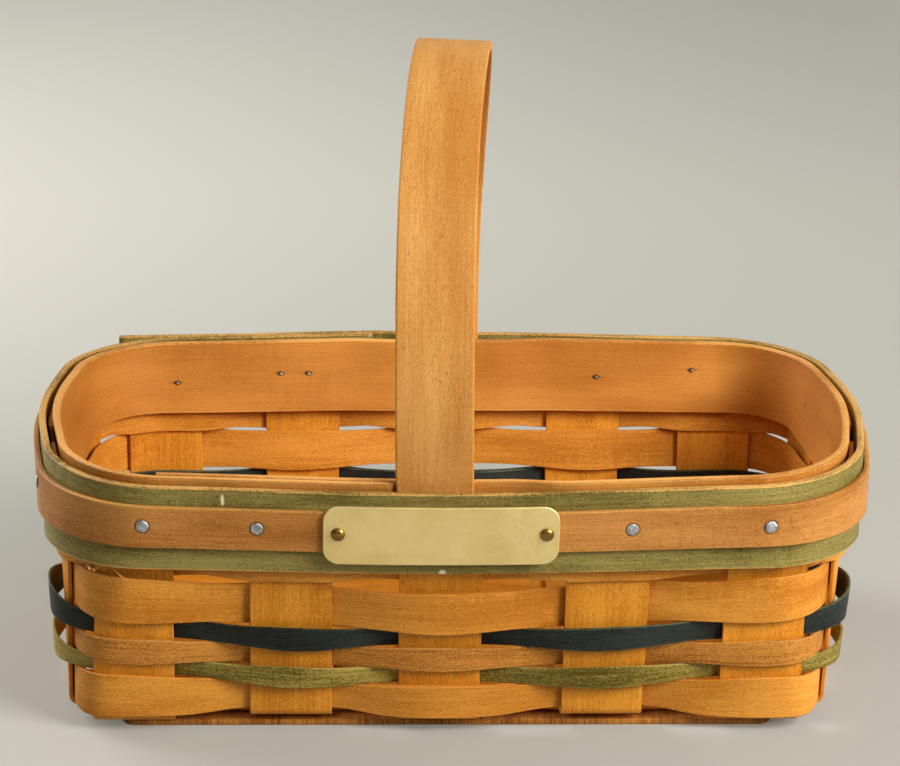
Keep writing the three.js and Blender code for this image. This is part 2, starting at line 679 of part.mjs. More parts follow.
// Trim strip: its left end is tucked under the band's tail and its right end lies over the tail
const TRIM_START = -1.6;
const TRIM_END = hoopPlace(2, TRIM_REACH);
const trim = splint(hoopStops(TRIM_START, TRIM_END, LAP_STOPS), 1, (place, share, face) => {
  const z = TRIM_MIDDLE + (share - 0.5) * TRIM_WIDTH + rimRise(place);
  const thickness = face > 0 ? TRIM_THICKNESS : 0;
  const n = bandFace(place, z) + LAYER + thickness + outerLap(place);
  return wallPoint(hoopArc(place, z), z, n);
});
addPiece('trim_strip', drilled(trim, [...rimHoles(trim), ...pinHoles(trim)]), 'tan');

// Handle: straight tails and legs along the wall's slope, joined by a half ellipse that meets them
const topRow = ROWS[ROWS.length - 1];
const topRowEdge = WEAVER_START + Math.max(topRow.front[1], topRow.back[1]) * ROW_ZONE;
const tailFoot = topRowEdge + WEAVER_SPREAD + 3 * CLEARANCE;
const legAt = (z) => section(z).b + wallBow(HANDLE_EDGE, section(z)) - HANDLE_FACE - HANDLE_THICKNESS / 2;
const legSlope = (legAt(RIM_HEIGHT) - legAt(BAND_BOTTOM)) / BAND_HEIGHT;
const legOut = (z) => legAt(RIM_HEIGHT) + legSlope * (z - RIM_HEIGHT);
const archRise = HANDLE_TOP - HANDLE_THICKNESS / 2 - HANDLE_SPRING;
const archHalf = Math.sqrt(legOut(HANDLE_SPRING) ** 2 - (legSlope * archRise) ** 2);
const archStart = -Math.atan((legSlope * archRise) / archHalf);
const legTop = HANDLE_SPRING + archRise * Math.sin(archStart);
const handleStops = [];
for (let i = 0; i < LEG_STEPS; i += 1) {
  const z = THREE.MathUtils.lerp(tailFoot, legTop, i / LEG_STEPS);
  handleStops.push({ y: -legOut(z), z, tilt: Math.atan(legSlope) });
}
for (let i = 0; i <= ARCH_STEPS; i += 1) {
  const angle = THREE.MathUtils.lerp(archStart, Math.PI - archStart, i / ARCH_STEPS);
  handleStops.push({
    y: -archHalf * Math.cos(angle),
    z: HANDLE_SPRING + archRise * Math.sin(angle),
    tilt: -Math.atan2(archHalf * Math.sin(angle), archRise * Math.cos(angle)),
  });
}
for (let i = LEG_STEPS - 1; i >= 0; i -= 1) {
  const leg = handleStops[i];
  handleStops.push({ y: -leg.y, z: leg.z, tilt: Math.PI - leg.tilt });
}

// The bent strip stands a little askew: its back end, its top and its far leg are shifted to the right
const handle = splint(handleStops, 1, ({ y, z, tilt }, share, face) => {
  const lift = (face * HANDLE_THICKNESS) / 2;
  const above = Math.max(0, (z - RIM_HEIGHT) / (HANDLE_TOP - RIM_HEIGHT)) ** 2;
  const lean = (HANDLE_LEAN + (HANDLE_TWIST * y) / legOut(RIM_HEIGHT)) * above;
  const middle = HANDLE_SHIFT + WALL_LEAN + HANDLE_SKEW * (y + legOut(RIM_HEIGHT)) + lean;
  const across = (share - 0.5) * HANDLE_WIDTH;
  const rolled = z - HANDLE_ROLL * across * above;
  return new THREE.Vector3(middle + across, y - lift * Math.cos(tilt), rolled - lift * Math.sin(tilt));
});
addPiece('handle', drilled(handle, near(handleNails, handle, NAIL_SHANK)), 'maple');

// Plate on the front, curved to the trim, and its two dome pins
const plateStraight = PLATE_LENGTH / 2 - PLATE_CORNER;
const plateEnd = Array.from({ length: DOME_STEPS + 1 }, (_, i) => {
  const angle = ((Math.PI / 2) * i) / DOME_STEPS;
  return {
    along: plateStraight + PLATE_CORNER * Math.sin(angle),
    half: PLATE_HEIGHT / 2 - PLATE_CORNER * (1 - Math.cos(angle)),
  };
});
const plateStops = [
  ...plateEnd.map(({ along, half }) => ({ along: -along, half })).reverse(),
  ...[-0.5, 0, 0.5].map((share) => ({ along: share * plateStraight, half: PLATE_HEIGHT / 2 })),
  ...plateEnd,
];
const plate = splint(plateStops, 1, ({ along, half }, share, face) => {
  const u = PLATE_SHIFT + along;
  const z = TRIM_MIDDLE + (2 * share - 1) * half;
  const thickness = face > 0 ? PLATE_THICKNESS : 0;
  return wallPoint(u, z, bandFace(hoopPlace(0, u), z) + LAYER + TRIM_LAYER + thickness);
});
addPiece('plate', drilled(plate, pinHoles(plate)), 'brass');

for (const pin of pins) {
  const slope = Math.hypot(pin.way.x, pin.way.y);
  const seat = (pin.face + LAYER + TRIM_LAYER + PLATE_THICKNESS + CLEARANCE / 2) * slope;
  const profile = [
    new THREE.Vector2(0, (pin.face - BAND_THICKNESS / 2) * slope),
    new THREE.Vector2(PIN_SHANK / 2, (pin.face + BAND_THICKNESS / 4) * slope),
    new THREE.Vector2(PIN_SHANK / 2, seat),
  ];
  for (let i = 0; i <= DOME_STEPS; i += 1) {
    const angle = ((Math.PI / 2) * i) / DOME_STEPS;
    const radius = i === DOME_STEPS ? 0 : (PIN_HEAD / 2) * Math.cos(angle);
    profile.push(new THREE.Vector2(radius, seat + PIN_DOME * Math.sin(angle)));
  }
  const body = new THREE.LatheGeometry(profile, PIN_SIDES).rotateX(Math.PI / 2);
  addPiece(pin.name, aimed(body, pin.point, pin.way), 'brass');
}

// Nail: a low domed head, a shank through the rim, and a short point
function nailGeometry({ point, way, head, tip }) {
  const slope = Math.hypot(way.x, way.y);
  const seat = head * slope + CLEARANCE * 0.7;
  const end = -tip * slope - NAIL_POINT;
  const profile = [
    new THREE.Vector2(0, end),
    new THREE.Vector2(NAIL_SHANK / 2, end + NAIL_POINT),
    new THREE.Vector2(NAIL_SHANK / 2, seat),
    new THREE.Vector2(NAIL_HEAD / 2, seat),
    new THREE.Vector2(NAIL_HEAD / 2, seat + NAIL_HEAD_THICKNESS * 0.4),
    new THREE.Vector2(NAIL_HEAD * 0.3, seat + NAIL_HEAD_THICKNESS),
    new THREE.Vector2(0, seat + NAIL_HEAD_THICKNESS),
  ];
  const body = new THREE.LatheGeometry(profile, NAIL_SIDES).rotateX(Math.PI / 2);
  return aimed(body, point, way);
}

for (const nail of [...nails, ...handleNails]) {
  addPiece(nail.name, nailGeometry(nail), 'steel');
}

export default basket;
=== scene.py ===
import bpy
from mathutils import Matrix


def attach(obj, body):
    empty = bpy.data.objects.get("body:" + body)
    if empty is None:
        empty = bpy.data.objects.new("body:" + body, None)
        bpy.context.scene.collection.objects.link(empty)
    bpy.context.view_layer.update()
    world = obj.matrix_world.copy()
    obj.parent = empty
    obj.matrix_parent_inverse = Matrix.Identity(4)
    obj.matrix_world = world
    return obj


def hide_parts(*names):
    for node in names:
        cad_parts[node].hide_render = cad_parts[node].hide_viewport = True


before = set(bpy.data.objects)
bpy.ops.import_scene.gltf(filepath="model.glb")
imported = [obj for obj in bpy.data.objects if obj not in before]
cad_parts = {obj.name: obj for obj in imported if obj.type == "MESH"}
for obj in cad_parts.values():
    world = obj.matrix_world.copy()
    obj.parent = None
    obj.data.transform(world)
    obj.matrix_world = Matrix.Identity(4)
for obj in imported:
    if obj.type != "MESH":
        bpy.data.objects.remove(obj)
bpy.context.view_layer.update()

import bpy
import numpy as np
from mathutils import Matrix, Vector

scene = bpy.context.scene
scene.view_settings.view_transform = "Standard"


# Base board: a thin plain board under the woven bottom, which the basket stands on.
# Maple with its grain from front to back, so the front edge shows short upright streaks.
# Sawn to size with sanded corners, and held against the bottom.
BOARD_SIZE = (182, 105)
BOARD_THICKNESS = 1.8
BOARD_CORNER = 4
BOARD_ROUND = 0.45
# Marks in a splint's wood: length along the grain and width across it in mm, detail, roughness, twist
GRAIN_MARKS = {
    "broad": (60, 14, 2), "streak": (22, 0.8, 3, 0.65), "fibre": (3.4, 0.28, 3, 0.7),
    "mottle": (0.8, 0.38, 3, 0.8), "ripple": (2.4, 8, 1, 0.5, 0.6), "rippled_place": (45, 18, 1),
    "fleck": (2.2, 0.28, 1), "flecked_place": (30, 8, 1),
}
STREAK_SHARE, FIBRE_SHARE, MOTTLE_SHARE = 0.24, 0.26, 0.5
FINE_CONTRAST = 1.7
BROAD_CONTRAST = 0.7
GRAIN_RELIEF = 0.00015
OPEN_FIBRES = 2.4, 0.5, 3
BARE_WOOD = 226, 216, 190
# Dark colour of nail stains, also laid on as painted shade round nail heads and along the inner band's top
# corner
NAIL_STAIN_AND_SHADE = 46, 26, 14
SPLINT_SHEEN = 0.18
SPLINT_GLOSS = 0.42
SPLINT_RAGGED = 0.4


def join(*arrays):
    """Arrays put one after another."""
    return np.concatenate(arrays)


def tube_faces(rings, around):
    """Quads from each ring of a tube to the next, then quads that close both ends.

    A ring's first half lies over its second half, so point j pairs with the one j from the end."""
    i, j = np.meshgrid(np.arange(rings - 1), np.arange(around), indexing="ij")
    i, j = i.ravel(), j.ravel()
    corner_ring = np.stack([i, i, i + 1, i + 1], -1)
    corner_place = np.stack([j, j + 1, j + 1, j], -1)
    j = np.arange(around // 2 - 1)
    end_place = np.stack([j, around - 1 - j, around - 2 - j, j + 1], -1)
    first_ring = np.zeros_like(end_place)
    corner_ring = join(corner_ring, first_ring, first_ring + rings - 1)
    corner_place = join(corner_place, end_place, end_place[:, ::-1])
    return corner_ring, corner_place, len(i)


def build(name, material, rings, grain, edge=0.0, mark=0.0):
    """Closed piece from rings of points in mm, as an array of ring, place round it and x, y, z.

    grain holds the wood's own coordinates in mm, along and across the fibres, with the first
    place repeated at the end; edge is 1 on cut edges and 0 on the faces; mark is 1 where a nail's
    stain or painted shade darkens the wood."""
    count, around = rings.shape[:2]
    corner_ring, corner_place, sides = tube_faces(count, around)
    points = rings.reshape(-1, 3) / 1000
    faces = corner_ring * around + corner_place % around
    a, b, c, d = (points[faces[:, k]] for k in range(4))
    if np.sum(a * (np.cross(b, c) + np.cross(c, d))) < 0:
        faces, corner_ring, corner_place = (x[:, ::-1] for x in (faces, corner_ring, corner_place))
    mesh = bpy.data.meshes.new(name)
    mesh.materials.append(material)
    mesh.vertices.add(len(points))
    mesh.vertices.foreach_set("co", points.ravel())
    mesh.loops.add(faces.size)
    mesh.loops.foreach_set("vertex_index", np.ascontiguousarray(faces).ravel())
    mesh.polygons.add(len(faces))
    mesh.polygons.foreach_set("loop_start", np.arange(len(faces)) * 4)
    mesh.polygons.foreach_set("use_smooth", np.arange(len(faces)) < sides)
    mesh.update(calc_edges=True)
    layer = mesh.uv_layers.new(name="grain")
    layer.uv.foreach_set("vector", (grain[corner_ring, corner_place] / 1000).ravel())
    for key, values in {"edge": edge, "mark": mark}.items():
        layer = mesh.attributes.new(key, "FLOAT", "POINT")
        layer.data.foreach_set("value", np.broadcast_to(values, (count, around)).ravel())
    piece = bpy.data.objects.new(name, mesh)
    scene.collection.objects.link(piece)
    return piece


def rounded_outline(size, corner, inset, steps=8, between=0):
    """Rounded rectangle moved in by inset, from its right end over the top to the left, and back below.

    A corner has steps points and a long side has some between, so that the points pair up and down."""
    turn = np.linspace(0, np.pi / 2, steps)
    straight = size[0] / 2 - corner
    along = straight + (corner - inset) * np.cos(turn)
    half = size[1] / 2 - corner + (corner - inset) * np.sin(turn)
    along = join(along, np.linspace(straight, -straight, between + 2)[1:-1], -along[::-1])
    half = join(half, np.full(between, size[1] / 2 - inset), half[::-1])
    return np.stack([join(along, along[::-1]), join(half, -half[::-1])], -1)


def rounded_edge(thickness, rounding, steps=4):
    """Profile up the edge of a flat piece, quarter-round at both faces: how far in, and how high."""
    turn = np.linspace(0, np.pi / 2, steps)
    inset = rounding * (1 - np.sin(turn))
    rise = rounding * (1 - np.cos(turn))
    return join(inset, inset[::-1]), join(rise, thickness - rise[::-1])


def board_rings():
    """Flat board lying on z = 0: its outline carried up the profile of its edge."""
    insets, heights = rounded_edge(BOARD_THICKNESS, BOARD_ROUND)
    outline = np.stack([rounded_outline(BOARD_SIZE, BOARD_CORNER, x) for x in insets])
    return np.concatenate([outline, np.broadcast_to(heights[:, None, None], (*outline.shape[:2], 1))], -1)


def close_seam(array):
    """Repeats the first place of each ring at its end."""
    return np.concatenate([array, array[:, :1]], 1)


def srgb(red, green, blue):
    """Colour written as a screen shows it, from 0 to 255, turned into the renderer's linear light."""
    share = np.array([red, green, blue]) / 255
    return (*np.where(share <= 0.04045, share / 12.92, ((share + 0.055) / 1.055) ** 2.4), 1)


def put(tree, made, inputs):
    """Sets each named input of a node to a value, or links it to a socket."""
    for key, value in inputs.items():
        if isinstance(value, bpy.types.NodeSocket):
            tree.links.new(value, made.inputs[key])
        else:
            made.inputs[key].default_value = value


def node(tree, kind, inputs=None, **settings):
    """One shader node, with its settings and its inputs."""
    made = tree.nodes.new("ShaderNode" + kind)
    for key, value in settings.items():
        setattr(made, key, value)
    put(tree, made, inputs or {})
    return made


def maths(tree, operation, *values, clamp=False):
    """Result of one sum, each value being a number or a socket."""
    made = node(tree, "Math", dict(enumerate(values)), operation=operation, use_clamp=clamp)
    return made.outputs[0]


def blend(tree, share, first, second):
    """Colour between first and second."""
    return node(tree, "Mix", {0: share, 6: first, 7: second}, data_type="RGBA").outputs[2]


def ramp(tree, value, low, high, to_low=0.0, to_high=1.0):
    """Value carried smoothly from the range low to high into the range to_low to to_high."""
    limits = {"From Min": low, "From Max": high, "To Min": to_low, "To Max": to_high}
    made = node(tree, "MapRange", {"Value": value, **limits}, interpolation_type="SMOOTHSTEP")
    return made.outputs[0]


def new_group(name, inputs, outputs):
    """Empty node group with number inputs, given with their usual values, and number outputs."""
    group = bpy.data.node_groups.new(name, "ShaderNodeTree")
    for key, value in inputs.items():
        group.interface.new_socket(key, in_out="INPUT", socket_type="NodeSocketFloat").default_value = value
    for key in outputs:
        group.interface.new_socket(key, in_out="OUTPUT", socket_type="NodeSocketFloat")
    return group, group.nodes.new("NodeGroupInput"), group.nodes.new("NodeGroupOutput")


def stretched_noise(tree, place, along, across, detail, rough=0.5, twist=0):
    """Noise whose marks are along mm long by across mm wide on the splint."""
    scale = node(tree, "Mapping", {"Vector": place, "Scale": (1000 / along, 1000 / across, 1)})
    form = {"Scale": 1, "Detail": detail, "Roughness": rough, "Distortion": twist}
    return node(tree, "TexNoise", {"Vector": scale.outputs[0], **form}, noise_dimensions="2D").outputs[0]


def splint_grain_group():
    """Wood of a sliced splint: broad tone, streaks, fibres, a fuzzy mottle, flecks, and ripples across."""
    group, given, result = new_group(
        "splint_grain", {"Fibre": 1.0, "Flecks": 0.5, "Ripple": 0.3}, ["Tone", "Flecks", "Height"])
    place = node(group, "UVMap", uv_map="grain").outputs[0]
    broad, streak, fibre, mottle, wave, rippled, fleck, flecked = (
        stretched_noise(group, place, *form) for form in GRAIN_MARKS.values())
    where = ramp(group, rippled, 0.4, 0.68)
    ripple = maths(group, "MULTIPLY", maths(group, "SUBTRACT", wave, 0.5), where)
    fine = maths(group, "MULTIPLY", fibre, FIBRE_SHARE)
    fine = maths(group, "MULTIPLY_ADD", streak, STREAK_SHARE, fine)
    fine = maths(group, "MULTIPLY_ADD", mottle, MOTTLE_SHARE, fine)
    fine = maths(group, "SUBTRACT", fine, 0.5)
    strong = maths(group, "MULTIPLY", given.outputs["Fibre"], FINE_CONTRAST)
    tone = maths(group, "MULTIPLY_ADD", broad, BROAD_CONTRAST, 0.5 - BROAD_CONTRAST / 2)
    tone = maths(group, "MULTIPLY_ADD", fine, strong, tone)
    tone = maths(group, "MULTIPLY_ADD", ripple, given.outputs["Ripple"], tone)
    where = ramp(group, flecked, 0.34, 0.62, 0.35, 1.0)
    flecks = maths(group, "MULTIPLY", ramp(group, fleck, 0.58, 0.8), where)
    flecks = maths(group, "MULTIPLY", flecks, given.outputs["Flecks"])
    height = maths(group, "MULTIPLY_ADD", flecks, -0.3, fine)
    height = maths(group, "MULTIPLY_ADD", ripple, 0.5, height)
    put(group, result, {"Tone": tone, "Flecks": flecks, "Height": height})
    return group


def worn_edge_group():
    """Masks of the cut edges, where fibres are open, of chips down to bare wood, and of nail stains and
    painted shade round nail heads and along a seam.
    """
    group, given, result = new_group("worn_edge", {"Ragged": 0.4}, ["Edge", "Bare", "Mark"])
    place = node(group, "UVMap", uv_map="grain").outputs[0]
    edge = node(group, "Attribute", attribute_name="edge").outputs["Fac"]
    mark = node(group, "Attribute", attribute_name="mark").outputs["Fac"]
    rough = stretched_noise(group, place, *OPEN_FIBRES)
    rough = maths(group, "MULTIPLY", maths(group, "SUBTRACT", rough, 0.5), given.outputs["Ragged"])
    uneven = maths(group, "ADD", edge, rough)
    put(group, result, {
        "Edge": ramp(group, uneven, 0.4, 0.8), "Bare": ramp(group, uneven, 1.3, 1.6),
        "Mark": ramp(group, maths(group, "ADD", mark, rough), 0.25, 1.0)})
    return group


splint_grain = splint_grain_group()
worn_edge = worn_edge_group()


def new_material(name):
    """Empty material, with its nodes and its shader."""
    material = bpy.data.materials.new(name)
    material.use_nodes = True
    return material, material.node_tree, material.node_tree.nodes["Principled BSDF"]


def splint_material(name, dark, light, fleck, edge, fibre=1.0, flecks=0.4, ripple=0.2):
    """Stained splint: two tones of the stain along the grain, flecks, open cut edges, nail stains, and
    painted shade round nail heads and along the inner band's top corner.
    """
    material, tree, shader = new_material(name)
    strengths = {"Fibre": fibre, "Flecks": flecks, "Ripple": ripple}
    wood = node(tree, "Group", strengths, node_tree=splint_grain).outputs
    worn = node(tree, "Group", {"Ragged": SPLINT_RAGGED}, node_tree=worn_edge).outputs
    colour = blend(tree, ramp(tree, wood["Tone"], 0.2, 0.8), srgb(*dark), srgb(*light))
    colour = blend(tree, wood["Flecks"], colour, srgb(*fleck))
    fray = blend(tree, ramp(tree, wood["Tone"], 0.3, 0.6), srgb(*dark), srgb(*edge))
    colour = blend(tree, worn["Edge"], colour, fray)
    colour = blend(tree, worn["Bare"], colour, srgb(*BARE_WOOD))
    # The mark mask holds real nail stains and painted shade, laid on in one dark colour
    colour = blend(tree, worn["Mark"], colour, srgb(*NAIL_STAIN_AND_SHADE))
    rough = ramp(tree, wood["Tone"], 0.2, 0.8, SPLINT_GLOSS + 0.08, SPLINT_GLOSS)
    bump = node(tree, "Bump", {"Height": wood["Height"], "Strength": 0.5, "Distance": GRAIN_RELIEF})
    put(tree, shader, {
        "Base Color": colour, "Roughness": rough, "Specular IOR Level": SPLINT_SHEEN,
        "Normal": bump.outputs[0]})
    return material


board_wood = splint_material(
    "cross_grained_board", dark=(120, 64, 18), light=(200, 132, 54), fleck=(86, 46, 14),
    edge=(188, 122, 50), fibre=1.2, flecks=0.5, ripple=0.4)
board_surface = board_rings()
base_board = build("base_board_maple", board_wood, board_surface, close_seam(board_surface[..., [1, 0]]))
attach(base_board, "root")
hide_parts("base_board")


# Stakes: eight wide splints that cross in the bottom, one over and one under, turn up in a tight
# bend and stand in the wall up between the rim bands. Honey-stained maple, sliced 1.1 mm thick,
# with sharp cut edges and rough sawn tops. Nothing but the weave holds them below the rim.
BASE_LENGTH = 210.6
BASE_WIDTH = 109
RIM_HEIGHT = 76.3
SIDE_FLARE = 0.108
END_FLARE = 0.057
SIDE_BOW = 6
END_BOW = 5.5
WALL_FOOT = 7.2
LEFT_SKEW = 0.05
WALL_LEAN = 1.1
CORNER_AT_BASE = 9
CORNER_AT_RIM = 30
STAKE_WIDTH = 22.6
STAKE_THICKNESS = 1.1
STAKE_ROUND = 0.24
STAKE_RAGGED = 0.12
STAKE_TOP_RAGGED = 0.5
STAKE_BEND = 2.8
STAKE_TOP = 74.7
CROSS_PITCH = 43.2
LONG_PITCH = 36.4
SHIFTS_FRONT = np.array([-0.6, -0.2, -2.5, -0.5, -0.1])
SHIFTS_BACK = np.array([-0.6, -1.5, -2.5, -0.5, -2.5])
BASE_LEVEL = 3.5
BASE_CRIMP = 0.85
EDGE_ROW = 0.2
GRAIN_SHIFT = 730, 97


def section(z):
    """Rounded rectangle of the wall at height z: half length, half width, corner radius, quarter length."""
    a = BASE_LENGTH / 2 + END_FLARE * z
    b = BASE_WIDTH / 2 + SIDE_FLARE * z
    r = CORNER_AT_BASE + (CORNER_AT_RIM - CORNER_AT_BASE) * z / RIM_HEIGHT
    return a, b, r, a + b - 2 * r + np.pi / 2 * r


def wall_opening(z):
    """Share of the wall's height above its foot: 0 at the foot and 1 at the rim."""
    return np.maximum(0, (z - WALL_FOOT) / (RIM_HEIGHT - WALL_FOOT))


def wall_bow(v, z):
    """How far the wall bows out at arc length v from a long side's middle.

    A squared cosine, largest in the middle of a side or end and nothing in the middle of a corner,
    which grows from the foot of the wall to the rim."""
    a, _, r, quarter = section(z)
    corner = a - r + np.pi / 4 * r
    side = SIDE_BOW * np.cos(np.pi / 2 * np.minimum(v, corner) / corner) ** 2
    end = END_BOW * np.cos(np.pi / 2 * (quarter - np.maximum(v, corner)) / (quarter - corner)) ** 2
    return wall_opening(z) * np.where(v < corner, side, end)


def wall(u, z, n):
    """Point on the wall: arc length u counter-clockwise from the front middle, height z, n outward.

    The section's straight half side, then its quarter circle, then the straight half end, turned
    half round for the back, bowed out, with the left end a little skewed and the whole leaning right."""
    u, z, n = np.broadcast_arrays(np.asarray(u, float), z, n)
    a, b, r, quarter = section(z)
    half = np.round(u / (2 * quarter))
    along = u - half * 2 * quarter
    v = np.abs(along)
    turn = np.clip((v - (a - r)) / r, 0, np.pi / 2)
    up_the_end = np.maximum(0, v - (a - r) - np.pi / 2 * r)
    radius = r + n + wall_bow(v, z)
    spin = np.where(half % 2 == 0, 1, -1)
    x = spin * np.where(along < 0, -1, 1) * (np.minimum(v, a - r) + radius * np.sin(turn))
    y = -spin * (b - r - up_the_end + radius * np.cos(turn))
    skew = LEFT_SKEW * wall_opening(z) * np.maximum(0, -x / a) ** 2
    return np.stack([x - skew * y + WALL_LEAN * z / RIM_HEIGHT, y, z], -1)


def strip_profile(width, thickness, rounding, across=8, extra=()):
    """Cross-section of a splint as offsets across and through it, and 1 on its cut edges.

    The outer face from one edge to the other with quarter-round corners, then the inner face back."""
    turn = np.linspace(0, np.pi / 2, 4)
    corner = np.stack([width / 2 - rounding + rounding * np.sin(turn), rounding * np.cos(turn)], -1)
    inside = width / 2 - rounding - EDGE_ROW
    flat = np.unique(join(np.linspace(-inside, inside, across), extra))
    place = join(-corner[::-1, 0], flat, corner[:, 0])
    lift = join(corner[::-1, 1], np.full(len(flat), rounding), corner[:, 1])
    lift = lift + thickness / 2 - rounding
    edge = join(np.ones(4), np.zeros(len(flat)), np.ones(4))
    return join(place, place[::-1]), join(lift, -lift[::-1]), np.tile(edge, 2)


def grain_map(rings, place, lift, shift):
    """Wood coordinates of a splint: length along its middle, and distance round its cross-section."""
    middle = rings.mean(1)
    along = join([0], np.cumsum(np.linalg.norm(np.diff(middle, axis=0), axis=1)))
    step = np.hypot(np.diff(place, append=place[0]), np.diff(lift, append=lift[0]))
    round_it = join([0], np.cumsum(step))
    grid = along[:, None] + shift * GRAIN_SHIFT[0], round_it + shift * GRAIN_SHIFT[1]
    return np.stack(np.broadcast_arrays(*grid), -1)


def waver(place, seed, depth):
    """Small unevenness along a cut edge: three sines of unlike lengths."""
    wave = np.sin(place / 9.1 + seed) + 0.6 * np.sin(place / 3.7 + 2.1 * seed)
    return depth * (wave + 0.35 * np.sin(place / 1.3 + 4.7 * seed)) / 2


def stake_rings(front, back, is_cross, side, seed):
    """Splint carried along the crimped bottom, a quarter bend and the sloping wall at each end.

    In the bottom its height is a cosine of the crossing pitch, steepened to lie flat over the stakes
    it crosses, and its middle runs straight from its place on one wall to its place on the other."""
    crossing, reach_count = (LONG_PITCH, 1) if is_cross else (CROSS_PITCH, 2)
    flare = SIDE_FLARE if is_cross else END_FLARE

    def crimp(out):
        wave = np.cos(np.pi * np.minimum(out, reach_count * crossing) / crossing)
        return BASE_LEVEL + side * BASE_CRIMP * wave * (1.5 - 0.5 * wave**2)

    def wall_out(z):
        return section(z)[1 if is_cross else 0]

    level = crimp(1e9)
    lean = np.pi / 2 - np.arctan(flare)
    foot = level + STAKE_BEND * (1 - np.cos(lean))
    reach = wall_out(foot) - STAKE_BEND * np.sin(lean)
    flat = np.linspace(0, reach, 60, endpoint=False)
    bend = np.linspace(0, lean, 9)
    rise = np.linspace(foot, STAKE_TOP, 44)[1:]
    out = join(flat, reach + STAKE_BEND * np.sin(bend), wall_out(rise))
    height = join(crimp(flat), level + STAKE_BEND * (1 - np.cos(bend)), rise)
    tilt = join(0 * flat, bend, np.full_like(rise, lean))
    far = join(np.ones(len(out) - 1, bool), np.zeros(len(out), bool))[:, None]
    out, height, tilt = (join(x[:0:-1], x)[:, None] for x in (out, height, tilt))

    shift, lift, edge = strip_profile(STAKE_WIDTH, STAKE_THICKNESS, STAKE_ROUND, across=10)
    sense = np.where(far, -1, 1)
    run = -sense * out
    share = np.clip((run + reach) / (2 * reach), 0, 1)
    ragged = waver(height + 500 * far, seed, STAKE_RAGGED) * shift / STAKE_WIDTH * 2
    sideways = front + (back - front) * share + shift + ragged
    sawn = STAKE_TOP_RAGGED + waver(shift * 3, seed, STAKE_TOP_RAGGED)
    z = height - lift * np.cos(tilt) - (height >= STAKE_TOP) * sawn
    n = out + lift * np.sin(tilt) - wall_out(z)
    quarter = section(z)[3]
    start = (0 if is_cross else 1) * quarter + np.where(far, 2, 0) * quarter
    standing = wall(start + sense * sideways, z, n)
    run = run + 0 * sideways
    flat_run = np.stack([sideways, run, z] if is_cross else [-run, sideways, z], -1)
    rings = np.where((tilt == 0)[..., None], flat_run, standing)
    return rings, grain_map(rings, shift, lift, seed), edge


stake_wood = splint_material(
    "honey_maple_stake", dark=(184, 108, 20), light=(238, 160, 52), fleck=(140, 74, 10),
    edge=(212, 136, 46), fibre=0.9, flecks=0.6, ripple=0.3)
stakes = {}
for i in range(-2, 3):
    places = i * CROSS_PITCH + SHIFTS_FRONT[i + 2], i * CROSS_PITCH + SHIFTS_BACK[i + 2]
    stakes[f"cross_stake_{i + 3}"] = (*places, True, 1 if i % 2 == 0 else -1)
for i in range(-1, 2):
    stakes[f"long_stake_{i + 2}"] = (i * LONG_PITCH, i * LONG_PITCH, False, -1 if i % 2 == 0 else 1)
for number, (stake_node, stake_form) in enumerate(stakes.items()):
    piece = build(stake_node + "_splint", stake_wood, *stake_rings(*stake_form, seed=number + 1))
    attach(piece, "root")
    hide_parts(stake_node)


# Weavers: six splints that go round the wall, outside one stake and inside the next, and back over
# their own start. Sliced maple 0.8 mm thick: natural, green, tan and blue-black stained strips,
# which bow out over the stakes and nest edge to edge between them. Friction alone holds them.
WEAVER_THICKNESS = 0.8
WEAVER_ROUND = 0.22
WEAVER_RAGGED = 0.1
WEAVER_STEPS = 640
WEAVER_START = 6
WEAVER_ZONE = 46.2
WEAVER_SPREAD = 0.75
WEAVER_LAP = 2.1
WEAVER_BOW = 2.4
ROW_GAP = 0.2
SEAT = 1.41
LAP_SHIFT = 0.55
BUTT_GAP = 0.007
TUCK_LEVEL = 6.3
RIGHT_LOOP = 0.4
HALF_TURN = 8
# Rows: edges at shares of the wall at front, back and ends; side on the even stakes; stake count at
# which the strip ends; bow out over the stakes, and bulge and lift of the loops at the ends, in mm
ROWS = {
    "weaver_1_natural": dict(
        front=(-0.022, 0.186), back=(-0.022, 0.195), corner=(-0.037, 0.234), left=(-0.02, 0.262),
        side=1, end=-1.05),
    "weaver_2_green": dict(
        front=(0.186, 0.309), back=(0.195, 0.314), corner=(0.234, 0.341), left=(0.262, 0.365),
        side=-1, end=8.95, bow=2.8, bulge=1.6, raised=(0.5, 1.8)),
    "weaver_3_tan": dict(
        front=(0.309, 0.451), back=(0.314, 0.477), corner=(0.341, 0.484), left=(0.365, 0.504),
        side=1, end=4.95),
    "weaver_4_navy": dict(
        front=(0.451, 0.581), back=(0.477, 0.62), corner=(0.484, 0.639), left=(0.504, 0.639),
        side=-1, end=6.95, bow=3, bulge=1.6, raised=(1.2, 3.2)),
    "weaver_5_natural": dict(
        front=(0.581, 0.836), back=(0.651, 0.891), corner=(0.639, 0.916), left=(0.639, 0.916),
        side=1, end=-1.05),
    "weaver_6_natural": dict(
        front=(0.918, 1.102), back=(0.912, 1.06), corner=(0.925, 1.11), left=(0.925, 1.11),
        side=-1, end=8, bow=SEAT),
}


def smooth(low, high, value):
    """Smooth step from 0 at low to 1 at high."""
    share = np.clip((value - low) / (high - low), 0, 1)
    return share * share * (3 - 2 * share)


def stake_arc(m, z):
    """Arc length of stake number m at height z, counted round the basket from the front middle."""
    quarter = section(z)[3]
    half = np.floor((m + 2) / HALF_TURN)
    local = m - half * HALF_TURN
    number = np.clip(local + 2, 0, 4).astype(int)
    shift = np.where(half % 2 == 0, SHIFTS_FRONT[number], -SHIFTS_BACK[4 - number])
    on_end = quarter + (local - HALF_TURN / 2) * LONG_PITCH
    return half * 2 * quarter + np.where(local <= 2, local * CROSS_PITCH + shift, on_end)


